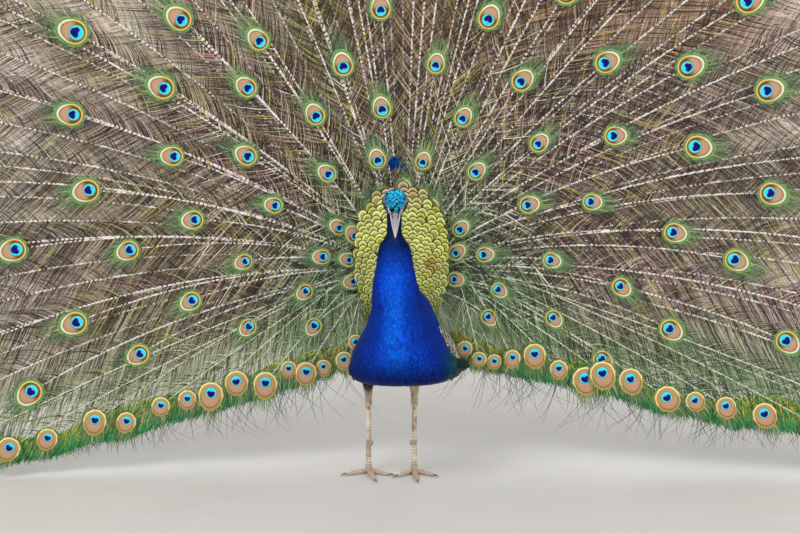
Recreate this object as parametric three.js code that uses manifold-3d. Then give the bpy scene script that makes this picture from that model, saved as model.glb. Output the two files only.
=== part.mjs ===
// A displaying peacock at life size: head, neck, trunk, wings, legs, tail and the raised train.
// Millimetres, +Z up. The bird faces -Y and its left side is +X. It stands on the floor at z = 0.
import * as THREE from "three";
import { mergeVertices } from "three/addons/utils/BufferGeometryUtils.js";
import Module from "manifold-3d";

// ---------- driving dimensions ----------
const GAP = 0.35; // clearance between neighbouring pieces
const CENTRE = { x: 0.2, y: 26.8 }; // middle of the whole bird's plan, which is brought to the origin
const HEAD = { x: -36, y: -182, z: 661, pitch: 56, length: 66, height: 44, width: 55 };
const BILL = { length: 55, width: 18, depth: 19, slope: 8, droop: 7 };
const EYE = { radius: 6.2, forward: 11, up: 2, side: 21.5 };
const CREST = { shafts: 8, length: 77, spread: 46, turn: 8, shaftRadius: 0.9, tip: 7, lean: -2 };
const NECK_CUTS = { top: 548, bottom: 440 };
const TRUNK_CUTS = { breast: -62, rump: 118 };
const SHIELD = {
  x: -23, y: 76, z: 528, up: 164, down: 196, // widest level, and how far it reaches above and below it
  half: 115, crown: 0.4, waist: 0.27, thick: 6, dish: 34,
};
const WING = { front: -122, back: 124, topFront: 388, topBack: 330, lowFront: 250, lowBack: 222, thick: 9 };
const WING_HANG = { left: 136, right: 107 }; // how far out each wing's lower edge hangs
const PRIMARIES = { front: 60, back: 268, zFront: 244, zBack: 218, height: 56, thick: 8, x: 98 };
const LEG = { y: 10, hockZ: 158, hockBack: 12, shank: 6.5, ankle: 8, footZ: 27 };
const FEET = [
  { side: "right", x: -101, toes: [-61, 12, 58], hind: 172 },
  { side: "left", x: 9, toes: [-43, 4, 50], hind: 188 },
];
const TOE = { side: 61, middle: 84, hind: 29, width: 11.5, height: 10, claw: 16, press: 0.9 };
const FAN = {
  x: 0, y: 135, z: 392, // middle of the ring that the train grows from
  ringX: 70, ringZ: 125, ringTurn: 150,
  rim: 1330, rimSide: 0.96, scallop: 34, lobes: 3,
  low: -15.3, roll: 1.8, sectors: 12, droop: 14, sag: 9.5,
  lean: 150, wrap: 90, thick: 1.6,
};
const TAIL = { x: 4, y: 220, z: 350, radius: 425, low: 12, lean: -70, feathers: 20, scallop: 22, thick: 3 };

// Trunk and neck as level sections, from the belly up: height, foremost y, hindmost y, half width.
const BODY = [
  [234, -22, -22, 0],
  [237, -122, 66, 92],
  [248, -176, 122, 117],
  [270, -202, 168, 128],
  [305, -214, 204, 114],
  [345, -213, 224, 92],
  [382, -207, 226, 77],
  [412, -201, 188, 66.5],
  [437, -194, 56, 60.5],
  [463, -188, -48, 53.5],
  [506, -180, -88, 45],
  [545, -178, -103, 38.5],
  [566, -177, -112, 32],
  [582, -175, -121, 22],
  [598, -173, -127, 17.5],
  [628, -171, -130, 17.5],
  [660, -178, -135, 18],
  [680, -170, -149, 11],
  [685, -160, -160, 0],
];

// ---------- small mathematics ----------
const rad = THREE.MathUtils.degToRad;
const lerp = THREE.MathUtils.lerp;
const clamp = THREE.MathUtils.clamp;
const signedPower = (value, power) => Math.sign(value) * Math.abs(value) ** power;

// The sideways drift of the body's middle: the trunk is turned a little and the neck leans to its right.
const drift = (y, z = 0) => -14 + 0.08 * y - 12 * clamp((z - 260) / 220, 0, 1);

const bodyHeights = BODY.map((row) => row[0]);

// Catmull-Rom value of one column of BODY at a place counted in rows.
function bodyColumn(column, place) {
  const at = clamp(place, 0, BODY.length - 1);
  const i = Math.min(Math.floor(at), BODY.length - 2);
  const f = at - i;
  const value = (k) => BODY[clamp(k, 0, BODY.length - 1)][column];
  const [a, b, c, d] = [value(i - 1), value(i), value(i + 1), value(i + 2)];
  return b + 0.5 * f * (c - a + f * (2 * a - 5 * b + 4 * c - d + f * (3 * (b - c) + d - a)));
}

// The place in rows of BODY at which the sections reach height z.
function bodyPlace(z) {
  let low = 0;
  let high = BODY.length - 1;
  for (let step = 0; step < 30; step++) {
    const middle = (low + high) / 2;
    if (bodyColumn(0, middle) < z) low = middle;
    else high = middle;
  }
  return (low + high) / 2;
}

const WIDEST = 0.44; // where along a level section its widest point lies, from the front
const LEVEL_POWER = 2.15; // a level section is a superellipse of this power

// Half the body's width at a point (y, z) of its middle plane, 0 outside its outline.
function bodyHalf(y, z) {
  if (z <= bodyHeights[0] || z >= bodyHeights[BODY.length - 1]) return 0;
  const place = bodyPlace(z);
  const front = bodyColumn(1, place);
  const back = bodyColumn(2, place);
  const widest = lerp(front, back, WIDEST);
  const share = y < widest ? (widest - y) / (widest - front) : (y - widest) / (back - widest);
  return share >= 1 ? 0 : bodyColumn(3, place) * (1 - share ** LEVEL_POWER) ** (1 / LEVEL_POWER);
}

// ---------- solids ----------
const wasm = await Module();
wasm.setup();

function weld(geometry) {
  const bare = geometry.clone();
  bare.deleteAttribute("normal");
  bare.deleteAttribute("uv");
  return mergeVertices(bare, 1e-3);
}

function solidOf(geometry) {
  const welded = weld(geometry);
  const triVerts = new Uint32Array(welded.index.array);
  const build = () =>
    new wasm.Manifold(
      new wasm.Mesh({ numProp: 3, vertProperties: welded.attributes.position.array, triVerts }),
    );
  const solid = build();
  if (solid.volume() > 0) return solid;
  for (let i = 0; i < triVerts.length; i += 3)
    [triVerts[i + 1], triVerts[i + 2]] = [triVerts[i + 2], triVerts[i + 1]];
  return build();
}

function geometryOf(solid) {
  const { vertProperties, triVerts, numProp, numVert } = solid.getMesh();
  const points = new Float32Array(numVert * 3);
  for (let i = 0; i < numVert; i++)
    points.set(vertProperties.subarray(i * numProp, i * numProp + 3), i * 3);
  const geometry = new THREE.BufferGeometry();
  geometry.setAttribute("position", new THREE.BufferAttribute(points, 3));
  geometry.setIndex(new THREE.BufferAttribute(new Uint32Array(triVerts), 1));
  geometry.computeVertexNormals();
  return geometry;
}

// A closed rounded body: each vertex of a sphere's grid goes to point(u, v), u round it and v end to end.
function roundBody(around, along, point) {
  const geometry = new THREE.SphereGeometry(1, around, along);
  const { position, uv } = geometry.attributes;
  for (let i = 0; i < position.count; i++) {
    const end = uv.getY(i) < 1e-6 || uv.getY(i) > 1 - 1e-6;
    position.setXYZ(i, ...point(end ? 0 : uv.getX(i) % 1, uv.getY(i)));
  }
  return solidOf(geometry);
}

// A closed sheet: a plane's grid goes to point(u, v, w), all from 0 to 1, once at w = 0 and once at w = 1.
// The two faces share their diagonals, so the sheet is as thick everywhere; a band of walls closes its rim.
function sheetBody(acrossU, acrossV, point) {
  const plane = new THREE.PlaneGeometry(1, 1, acrossU, acrossV);
  const { uv } = plane.attributes;
  const count = uv.count;
  const points = [];
  for (const w of [0, 1])
    for (let i = 0; i < count; i++) points.push(...point(uv.getX(i), uv.getY(i), w));
  const near = [...plane.index.array];
  const far = near.map((_, k) => near[k - (k % 3) + 2 - (k % 3)] + count);
  const row = acrossU + 1;
  const rim = [];
  for (let i = 0; i < acrossU; i++) rim.push(i);
  for (let j = 0; j < acrossV; j++) rim.push(j * row + acrossU);
  for (let i = acrossU; i > 0; i--) rim.push(acrossV * row + i);
  for (let j = acrossV; j > 0; j--) rim.push(j * row);
  const walls = rim.flatMap((a, k) => {
    const b = rim[(k + 1) % rim.length];
    return [a, b, b + count, a, b + count, a + count];
  });
  const geometry = new THREE.BufferGeometry();
  geometry.setAttribute("position", new THREE.Float32BufferAttribute(points, 3));
  geometry.setIndex([...near, ...far, ...walls]);
  return solidOf(geometry);
}

// The box between two corners, as a cutter.
function block([x0, y0, z0], [x1, y1, z1]) {
  const geometry = new THREE.BoxGeometry(x1 - x0, y1 - y0, z1 - z0);
  return solidOf(geometry.translate((x0 + x1) / 2, (y0 + y1) / 2, (z0 + z1) / 2));
}

// A tapering limb along a curve, its ends rounded: radii(v) gives half its width and half its height.
function limb(curve, around, along, radii, flat = new THREE.Vector3(0, 0, 1)) {
  return roundBody(around, along, (u, v) => {
    const centre = curve.getPointAt(clamp(v, 0, 1));
    const forward = curve.getTangentAt(clamp(v, 0, 1));
    const across = new THREE.Vector3().crossVectors(forward, flat).normalize();
    const upward = new THREE.Vector3().crossVectors(across, forward).normalize();
    const [half, tall] = radii(v);
    const turn = 2 * Math.PI * u;
    return centre
      .addScaledVector(across, half * Math.cos(turn))
      .addScaledVector(upward, tall * Math.sin(turn))
      .toArray();
  });
}

// Rounds a radius off to nothing over the last share of each end.
const roundEnds = (v, share = 0.12) =>
  Math.sqrt(Math.max(0, 1 - Math.max(0, 1 - v / share, 1 - (1 - v) / share) ** 2));

const curveThrough = (...points) =>
  new THREE.CatmullRomCurve3(points.map((p) => new THREE.Vector3(...p)), false, "centripetal");

const largest = (solid) => solid.decompose().sort((a, b) => b.volume() - a.volume())[0];

// ---------- looks ----------
const finish = (color, roughness = 0.6, metalness = 0) =>
  new THREE.MeshStandardMaterial({ color, roughness, metalness });
const blue = finish(0x1230b8, 0.45, 0.2);
const turquoise = finish(0x1093c4, 0.45, 0.2);
const gold = finish(0xb9b33c, 0.5, 0.2);
const bronzeGreen = finish(0x5d5a38, 0.7, 0.1);
const barred = finish(0x6f6a5c, 0.7);
const chestnut = finish(0x8a4f26, 0.7);
const tailBrown = finish(0x6d6357, 0.75);
const buff = finish(0x8f7a58, 0.8);
const legSkin = finish(0xb3a294, 0.65);
const horn = finish(0x9c9296, 0.5);
const clawHorn = finish(0x4b413c, 0.5);
const darkEye = finish(0x120a06, 0.08);

const peacock = new THREE.Group();

function add(name, solid, material) {
  const mesh = new THREE.Mesh(geometryOf(solid), material);
  mesh.name = name;
  peacock.add(mesh);
}

// ---------- trunk and neck ----------
function bodySolid(grow) {
  return roundBody(20, 22, (u, v) => {
    const place = v * (BODY.length - 1);
    const front = bodyColumn(1, place) - grow;
    const back = bodyColumn(2, place) + grow;
    const half = Math.max(0, bodyColumn(3, place)) + (v > 0 && v < 1 ? grow : 0);
    const widest = lerp(front, back, WIDEST);
    const turn = 2 * Math.PI * u;
    const reach = Math.cos(turn) < 0 ? widest - front : back - widest;
    const y = widest + reach * signedPower(Math.cos(turn), 2 / LEVEL_POWER);
    const end = v <= 0 ? -grow : v >= 1 ? grow : 0;
    const z = bodyColumn(0, place) + end;
    return [drift(y, z) + half * signedPower(Math.sin(turn), 2 / LEVEL_POWER), y, z];
  });
}

// ---------- head ----------
const pitch = rad(HEAD.pitch);
const headForward = new THREE.Vector3(0, -Math.cos(pitch), -Math.sin(pitch));
const headUp = new THREE.Vector3(0, -Math.sin(pitch), Math.cos(pitch));
const headSide = new THREE.Vector3(1, 0, 0);
const headCentre = new THREE.Vector3(HEAD.x, HEAD.y, HEAD.z);

// A point of the head's own frame: forward to the bill, to its left, and up through the crown.
const headPoint = (forward, side, up) =>
  headCentre.clone().addScaledVector(headForward, forward).addScaledVector(headSide, side)
    .addScaledVector(headUp, up);

function headSolid(grow) {
  return roundBody(14, 10, (u, v) => {
    const along = Math.cos(Math.PI * v); // 1 at the bill, -1 at the nape
    const ring = Math.sin(Math.PI * v);
    const turn = 2 * Math.PI * u;
    const narrow = 1 - 0.3 * Math.max(0, along) ** 2;
    const up = Math.sin(turn) * (HEAD.height / 2 + grow) * ring * narrow;
    const side = Math.cos(turn) * (HEAD.width / 2 + grow) * ring * narrow;
    const sag = 5 * Math.max(0, along) ** 2;
    return headPoint(along * (HEAD.length / 2 + grow), side, up - sag).toArray();
  });
}

// The bill's two halves meet on a level curve of its own middle; each is a half cone that bends down.
function billSolid(upper) {
  const root = HEAD.length / 2 - 9;
  return roundBody(10, 7, (u, v) => {
    const share = clamp(1 - v, 0, 1);
    const size = Math.sqrt(Math.max(0, 1 - share ** 1.7)) * Math.sqrt(Math.min(1, share / 0.04));
    const turn = 2 * Math.PI * u;
    const reach = (upper ? BILL.length : BILL.length * 0.86) * share;
    const bend = (BILL.slope * reach) / BILL.length + BILL.droop * (reach / BILL.length) ** 2;
    const lift = upper ? 1 : -1;
    const round = Math.max(0, lift * Math.sin(turn)) * lift;
    const tall = upper ? BILL.depth * 0.62 : BILL.depth * 0.36;
    const meet = lift * (GAP / 2 + 0.05);
    const side = Math.cos(turn) * (BILL.width / 2) * size * (upper ? 1 : 0.9);
    return headPoint(root + reach, side, round * tall * size + meet - 6 - bend).toArray();
  });
}

const body = bodySolid(0);
const bodyCutter = bodySolid(GAP);
const headCutter = headSolid(GAP);
const eyeBall = (side, grow) =>
  roundBody(8, 6, (u, v) => {
    const ring = Math.sin(Math.PI * v);
    const r = EYE.radius + grow;
    return headPoint(
      EYE.forward + r * ring * Math.cos(2 * Math.PI * u),
      side * EYE.side + r * Math.cos(Math.PI * v) * 0.8,
      EYE.up + r * ring * Math.sin(2 * Math.PI * u),
    ).toArray();
  });

const upperBill = billSolid(true);
const lowerBill = billSolid(false);
let skull = headSolid(0);
for (const side of [-1, 1]) skull = skull.subtract(eyeBall(side, GAP));
add("head", largest(skull), turquoise);
add("bill_upper", largest(upperBill.subtract(headCutter)), horn);
add("bill_lower", largest(lowerBill.subtract(headCutter)), horn);
add("eye_left", eyeBall(1, 0), darkEye);
add("eye_right", eyeBall(-1, 0), darkEye);

// The crest: bare shafts that spread fore and aft from the crown, each with a small webbed tip.
function crestSolid() {
  const pieces = [];
  for (let i = 0; i < CREST.shafts; i++) {
    const fan = rad(lerp(-CREST.spread / 2, CREST.spread / 2, i / (CREST.shafts - 1)) + 4);
    const rise = new THREE.Vector3(
      Math.sin(rad(CREST.lean)) + Math.sin(fan) * Math.sin(rad(CREST.turn)), Math.sin(fan), Math.cos(fan));
    const root = headPoint(-17 - 0.6 * i, 0, HEAD.height / 2 - 6);
    const tip = root.clone().addScaledVector(rise.normalize(), CREST.length - 0.35 * Math.abs(i - 4) ** 1.6);
    const shaft = new THREE.LineCurve3(root, tip);
    pieces.push(limb(shaft, 4, 2, (v) => Array(2).fill(CREST.shaftRadius * roundEnds(v, 0.02))));
    const blade = new THREE.LineCurve3(tip.clone().addScaledVector(rise, -2.2 * CREST.tip), tip);
    const sideways = new THREE.Vector3(Math.cos(rad(CREST.turn)), -Math.sin(rad(CREST.turn)), 0);
    pieces.push(limb(blade, 5, 3, (v) => {
      const swell = Math.sin(Math.PI * v) ** 0.8;
      return [CREST.tip * 0.62 * swell, CREST.tip * 0.34 * swell];
    }, sideways));
  }
  const hub = headPoint(-19, 0, HEAD.height / 2 - 4.5);
  const mound = new THREE.SphereGeometry(5, 6, 5).translate(hub.x, hub.y, hub.z);
  return wasm.Manifold.union([...pieces, solidOf(mound)]);
}
add("crest", largest(crestSolid().subtract(headCutter)), turquoise);

// ---------- neck and trunk pieces, parted by thin level and upright cuts ----------
const FAR = 2000;
const neckAndTrunk = body.subtract(headCutter);
const between = (low, high) =>
  largest(neckAndTrunk.intersect(block([-FAR, -FAR, low], [FAR, FAR, high])));
const trunkPart = (from, to) =>
  largest(body.intersect(block([-FAR, from, 0], [FAR, to, NECK_CUTS.bottom])));
add("neck_upper", between(NECK_CUTS.top + GAP, 800), blue);
add("neck_lower", between(NECK_CUTS.bottom + GAP, NECK_CUTS.top), blue);
add("breast", trunkPart(-FAR, TRUNK_CUTS.breast), blue);
add("trunk", trunkPart(TRUNK_CUTS.breast + GAP, TRUNK_CUTS.rump), blue);
add("rump", trunkPart(TRUNK_CUTS.rump + GAP, FAR), tailBrown);

// ---------- wings ----------
function wingSolid(side, grow) {
  const outermost = side > 0 ? WING_HANG.left : WING_HANG.right;
  return sheetBody(8, 4, (u, v, w) => {
    const y = lerp(WING.front, WING.back, u) + (u < 0.5 ? -grow : grow);
    const shoulder = 1 - Math.max(0, 1 - u / 0.3) ** 2.4;
    const rear = 1 - 0.35 * Math.max(0, (u - 0.6) / 0.4) ** 2;
    const top = lerp(WING.topFront, WING.topBack, u) + grow;
    const low = lerp(WING.lowFront, WING.lowBack, u) - grow;
    const middle = (top + low) / 2;
    const z = middle + (v - 0.5) * (top - low) * (0.35 + 0.65 * shoulder) * rear;
    const hang = outermost * lerp(0.7, 1, Math.min(1, u * 1.8)) * lerp(1, 0.55, v ** 1.6);
    const inner = Math.max(bodyHalf(y, z) + 6, hang) - grow;
    const bulge = (1 - Math.abs(2 * u - 1) ** 3) * (1 - Math.abs(2 * v - 1) ** 3);
    const x = inner + w * (3 + WING.thick * bulge + 2 * grow);
    return [drift(y, z) + side * x, y, z];
  });
}

function primariesSolid(side, grow = 0) {
  return sheetBody(6, 2, (u, v, w) => {
    const y = lerp(PRIMARIES.front, PRIMARIES.back, u);
    const taper = 1 - 0.8 * u ** 2.6;
    const z = lerp(PRIMARIES.zFront, PRIMARIES.zBack, u) + (v - 0.5) * (PRIMARIES.height * taper + 2 * grow);
    const x = PRIMARIES.x - 10 * u + (w - 0.5) * (PRIMARIES.thick * (1 - 0.6 * u) + 2 * grow);
    return [drift(y) + side * x, y, z];
  });
}

// The shield of scale feathers over the bird's back, open below where the neck stands before it.
const shield = sheetBody(8, 9, (u, v, w) => {
  const tall = 2 * v - 1;
  const across = 2 * u - 1;
  const corner = Math.max(0.3, (1 - Math.abs(tall) ** 10) ** 0.4);
  const narrow = tall > 0 ? SHIELD.crown : SHIELD.waist;
  const half = SHIELD.half * (1 - narrow * tall ** 2) * corner;
  const z = SHIELD.z + tall * (tall > 0 ? SHIELD.up : SHIELD.down);
  const y = SHIELD.y - SHIELD.dish * across ** 2 * (half / SHIELD.half) - 18 * Math.max(0, tall) ** 2;
  return [SHIELD.x + half * across, y + w * SHIELD.thick, z];
});

let keepClear = bodyCutter; // the space that whatever lies behind the body and wings leaves free
for (const [name, side] of [["left", 1], ["right", -1]]) {
  add(`wing_${name}`, largest(wingSolid(side, 0).subtract(bodyCutter)), barred);
  keepClear = keepClear.add(wingSolid(side, GAP));
  add(`primaries_${name}`, largest(primariesSolid(side).subtract(keepClear)), chestnut);
}
for (const side of [1, -1]) keepClear = keepClear.add(primariesSolid(side, GAP));
add("back_shield", largest(shield.subtract(keepClear)), gold);

// ---------- legs and feet ----------
// How thick a toe is at a share of its length: it tapers, with a pad under each joint.
const toeTaper = (v) => lerp(1, 0.68, v) * (1 + 0.07 * Math.cos(v * 6 * Math.PI));

function toeSolid(x, angle, length) {
  const heading = rad(angle);
  const at = (share) => [
    x + Math.sin(heading) * length * share,
    LEG.y - Math.cos(heading) * length * share,
    (TOE.height / 2) * toeTaper(share) - TOE.press,
  ];
  const curve = new THREE.LineCurve3(new THREE.Vector3(...at(0)), new THREE.Vector3(...at(1)));
  return limb(curve, 6, 6, (v) => {
    const taper = toeTaper(v) * roundEnds(v, 0.1);
    return [(TOE.width / 2) * taper, (TOE.height / 2) * taper];
  });
}

function clawSolid(x, angle, length) {
  const heading = rad(angle);
  const at = (reach, z) => [x + Math.sin(heading) * reach, LEG.y - Math.cos(heading) * reach, z];
  const middle = length + TOE.claw / 2;
  const curve = curveThrough(at(length - 3.2, 4.2), at(middle, 5), at(length + TOE.claw, 1.4));
  return limb(curve, 5, 4, (v) => {
    const taper = (1 - v) ** 0.7 * Math.sqrt(Math.min(1, v / 0.1));
    return [2.2 * taper, 2.7 * taper];
  });
}

const ahead = new THREE.Vector3(0, 1, 0);
for (const { side, x, toes, hind } of FEET) {
  const directions = [...toes.map((angle, i) => [angle, i === 1 ? TOE.middle : TOE.side]), [hind, TOE.hind]];
  const ankleTop = LEG.footZ;
  const y = LEG.y;
  const palm = limb(curveThrough([x, y, 2], [x, y + 1, 14], [x, y + 3, ankleTop + 12]), 8, 6, (v) => {
    const taper = roundEnds(v, 0.2);
    return [LEG.ankle * taper, LEG.ankle * taper * 1.05];
  }, ahead);
  const aboveFloor = block([-FAR, -FAR, 0], [FAR, FAR, ankleTop - GAP]);
  const whole = wasm.Manifold.union([palm, ...directions.map(([a, l]) => toeSolid(x, a, l))]);
  directions.forEach(([angle, length], i) => {
    const step = [Math.sin(rad(angle)) * GAP, -Math.cos(rad(angle)) * GAP, 0];
    const claw = largest(clawSolid(x, angle, length).subtract(whole)).translate(step);
    add(`claw_${side}_${i + 1}`, claw, clawHorn);
  });
  add(`foot_${side}`, largest(whole.intersect(aboveFloor)), legSkin);

  const hock = [x, y + LEG.hockBack, LEG.hockZ];
  const shankCurve = curveThrough(
    [x, y + 2, ankleTop - 20], [x, y + 3, 60], [x, y + 8, 118], hock, [x, y + 9, LEG.hockZ + 18]);
  const shank = limb(shankCurve, 9, 9, (v) => {
    const knob = 2.2 * Math.exp(-(((v - 0.86) / 0.09) ** 2)) + 1.6 * Math.exp(-((v / 0.16) ** 2));
    const r = (LEG.shank + knob) * roundEnds(v, 0.05);
    return [r, r * 1.18];
  }, ahead);
  const shankBox = block([-FAR, -FAR, ankleTop], [FAR, FAR, LEG.hockZ + 6]);
  add(`shank_${side}`, largest(shank.intersect(shankBox)), legSkin);

  const inward = side === "left" ? -1 : 1;
  const spurCurve = curveThrough(
    [x + inward * 3, y + 5, 66], [x + inward * 8, y + 17, 67], [x + inward * 10, y + 27, 74]);
  const spur = limb(spurCurve, 6, 4, (v) => {
    const taper = (1 - v) ** 0.7 * Math.sqrt(Math.min(1, v / 0.1));
    return [3.2 * taper, 3.2 * taper];
  });
  const shankCutter = limb(shankCurve, 9, 9, () => [LEG.shank + 0.6, LEG.shank * 1.18 + 0.6], ahead);
  add(`spur_${side}`, largest(spur.subtract(shankCutter)), clawHorn);

  const thighCurve = curveThrough(
    [x, y + 10, LEG.hockZ - 8], [x, y + 2, 190], [x, y - 18, 234], [lerp(x, drift(0), 0.1), y - 44, 300]);
  const thigh = limb(thighCurve, 12, 10, (v) => {
    const r = lerp(8.8, 35, v ** 1.1) * roundEnds(v, 0.06);
    return [r * 0.84, r * lerp(1, 1.5, v)];
  }, ahead);
  const thighBox = block([-FAR, -FAR, LEG.hockZ + 6 + GAP], [FAR, FAR, FAR]);
  add(`thigh_${side}`, largest(thigh.intersect(thighBox).subtract(keepClear)), buff);
}

// ---------- the train ----------
const fanSpan = 180 - 2 * FAN.low;

// Where a train feather whose tip stands at this angle grows from.
function fanRoot(angle) {
  const turn = rad(90 + ((angle - 90) * FAN.ringTurn) / (90 - FAN.low));
  return new THREE.Vector3(FAN.x + FAN.ringX * Math.cos(turn), FAN.y, FAN.z + FAN.ringZ * Math.sin(turn));
}

// How far a point at this distance and angle from the ring's middle leans towards the front.
const fanLean = (radius, angle) =>
  (FAN.lean + FAN.wrap * Math.cos(rad(angle)) ** 2) * (Math.max(0, radius) / FAN.rim) ** 1.5;

// How many degrees the middle of a feather is turned up, or down near the train's two lower edges.
function fanRise(angle) {
  const edge = Math.max(0, 1 - Math.min(angle - FAN.low, 180 - FAN.low - angle) / 40);
  const arch = FAN.droop * Math.sin((Math.PI * (angle - FAN.low)) / fanSpan);
  return (arch - FAN.sag * edge ** 2) * Math.cos(rad(angle));
}

// A point along a feather, share 0 at its root and 1 at its tip.
function fanPoint(angle, length, share) {
  const root = fanRoot(angle);
  const aim = rad(angle + FAN.roll);
  const tip = new THREE.Vector3(FAN.x + length * Math.cos(aim), FAN.y, FAN.z + length * Math.sin(aim));
  const half = tip.distanceTo(root) / 2;
  const heading = rad(THREE.MathUtils.radToDeg(Math.atan2(tip.z - root.z, tip.x - root.x)) + fanRise(angle));
  const bend = new THREE.Vector3(root.x + half * Math.cos(heading), FAN.y, root.z + half * Math.sin(heading));
  const point = new THREE.QuadraticBezierCurve3(root, bend, tip).getPoint(share);
  point.y -= fanLean(Math.hypot(point.x - FAN.x, point.z - FAN.z), angle);
  return point;
}

const rimLength = (angle) => FAN.rim * lerp(1, FAN.rimSide, Math.cos(rad(angle)) ** 2);

for (let sector = 0; sector < FAN.sectors; sector++) {
  const from = FAN.low + (fanSpan * sector) / FAN.sectors;
  const step = fanSpan / FAN.sectors;
  const solid = sheetBody(9, 4, (u, v, w) => {
    const rough = from + step * u;
    const inset = THREE.MathUtils.radToDeg((0.5 - u) * 2 * GAP * 0.7 / lerp(75, FAN.rim, v));
    const lobe = Math.abs(Math.sin(Math.PI * FAN.lobes * u)) ** 0.7;
    const length = rimLength(rough) - FAN.scallop * (1 - lobe);
    const point = fanPoint(rough + inset, length, v);
    return [point.x, point.y + w * FAN.thick, point.z];
  });
  const clear = solid.subtract(keepClear);
  add(`train_${String(sector + 1).padStart(2, "0")}`, largest(clear), bronzeGreen);
}

// ---------- the tail behind the train ----------
const tail = sheetBody(40, 2, (u, v, w) => {
  const angle = rad(lerp(TAIL.low, 180 - TAIL.low, u));
  const lobe = Math.abs(Math.sin(Math.PI * TAIL.feathers * u));
  const length = TAIL.radius * lerp(0.86, 1, Math.sin(angle)) - TAIL.scallop * (1 - lobe);
  const radius = lerp(24, length, v);
  const y = TAIL.y + TAIL.lean * (radius / TAIL.radius) + w * TAIL.thick;
  return [TAIL.x + radius * Math.cos(angle), y, TAIL.z + radius * Math.sin(angle)];
});
add("tail", largest(tail.subtract(bodyCutter)), tailBrown);

peacock.position.set(-CENTRE.x, -CENTRE.y, 0);
export default peacock;
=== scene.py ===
# A displaying peacock at life size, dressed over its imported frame.
# Metres, +Z up. The bird faces -Y and its left side is +X.
import bpy
import numpy as np
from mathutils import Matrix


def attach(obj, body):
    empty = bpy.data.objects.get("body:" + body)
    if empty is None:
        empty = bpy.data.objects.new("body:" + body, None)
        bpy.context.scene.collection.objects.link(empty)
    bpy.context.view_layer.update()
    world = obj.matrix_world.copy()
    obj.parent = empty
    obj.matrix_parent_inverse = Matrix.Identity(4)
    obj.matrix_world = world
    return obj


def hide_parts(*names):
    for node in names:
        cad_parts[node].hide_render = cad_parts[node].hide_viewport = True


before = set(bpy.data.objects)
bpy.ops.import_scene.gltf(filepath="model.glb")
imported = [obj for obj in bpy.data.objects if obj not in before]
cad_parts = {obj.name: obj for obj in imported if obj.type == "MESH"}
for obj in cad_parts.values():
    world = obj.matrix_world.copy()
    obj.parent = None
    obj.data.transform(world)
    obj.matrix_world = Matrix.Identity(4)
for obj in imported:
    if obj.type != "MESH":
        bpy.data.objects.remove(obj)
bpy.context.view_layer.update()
rng = np.random.default_rng(31)
print("stage: frame loaded")


# Small mathematics.
def srgb(red, green, blue):  # a colour in steps from 0 to 255, as linear light
    c = np.array([red, green, blue], float) / 255
    return np.where(c <= 0.04045, c / 12.92, ((c + 0.055) / 1.055) ** 2.4)


def smooth(low, high, value):  # an eased step, 0 below low and 1 above high: t squared times 3 - 2t
    t = np.clip((value - low) / (high - low), 0, 1)
    return t * t * (3 - 2 * t)


def bell(value, middle, spread):  # a hump of height 1 at middle
    return np.exp(-(((value - middle) / spread) ** 2))


def mix(first, second, share):  # share of the way from first to second, colour by colour
    share = np.asarray(share, float)[..., None]
    return np.asarray(first) * (1 - share) + np.asarray(second) * share


def unit(vectors):  # each vector over its own length
    return vectors / np.maximum(np.linalg.norm(vectors, axis=-1, keepdims=True), 1e-9)


def beside(*parts):  # arrays side by side, as the last axis
    return np.stack(parts, -1)


def across(vectors, normals):  # what of the vectors lies in the surface, at length one
    along = (vectors * normals).sum(-1, keepdims=True)
    return unit(vectors - along * normals)


def thin(points, size):  # the first point in each cell of a cubic lattice
    cells = np.floor(points / np.asarray(size)[..., None]).astype(np.int64)
    key = cells @ np.array([73856093, 19349663, 83492791])
    return np.unique(key, return_index=True)[1]


# Meshes from arrays.
def gridFaces(columns, rows, closed=False):  # quads of a grid whose vertex j * columns + i is in row j
    i = np.arange(columns if closed else columns - 1)
    j = np.arange(rows - 1)[:, None]
    a = j * columns + i
    b = j * columns + (i + 1) % columns
    return beside(a, b, b + columns, a + columns).reshape(-1, 4)


def closedFaces(around, rows):  # a closed grid whose first and last rows run together at two added poles
    i = np.arange(around)
    j = (i + 1) % around
    n, top = around * rows, around * (rows - 1)
    return [gridFaces(around, rows, True), beside(j, i, np.full(around, n)),
            beside(top + i, top + j, np.full(around, n + 1))]


def repeatFaces(faces, copies, stride):  # the same faces for each of many equal shapes
    shift = np.arange(copies)[:, None, None] * stride
    return (faces[None] + shift).reshape(-1, faces.shape[1])


def join(parts):  # several parts as one: their faces are shifted to their own vertices
    whole = {"points": np.concatenate([p["points"] for p in parts]), "faces": []}
    start = 0
    for part in parts:
        whole["faces"] += [faces + start for faces in part["faces"]]
        start += len(part["points"])
    for kind in ("maps", "values", "colours"):
        names = parts[0].get(kind, {})
        whole[kind] = {n: np.concatenate([p[kind][n] for p in parts]) for n in names}
    return whole


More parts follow.
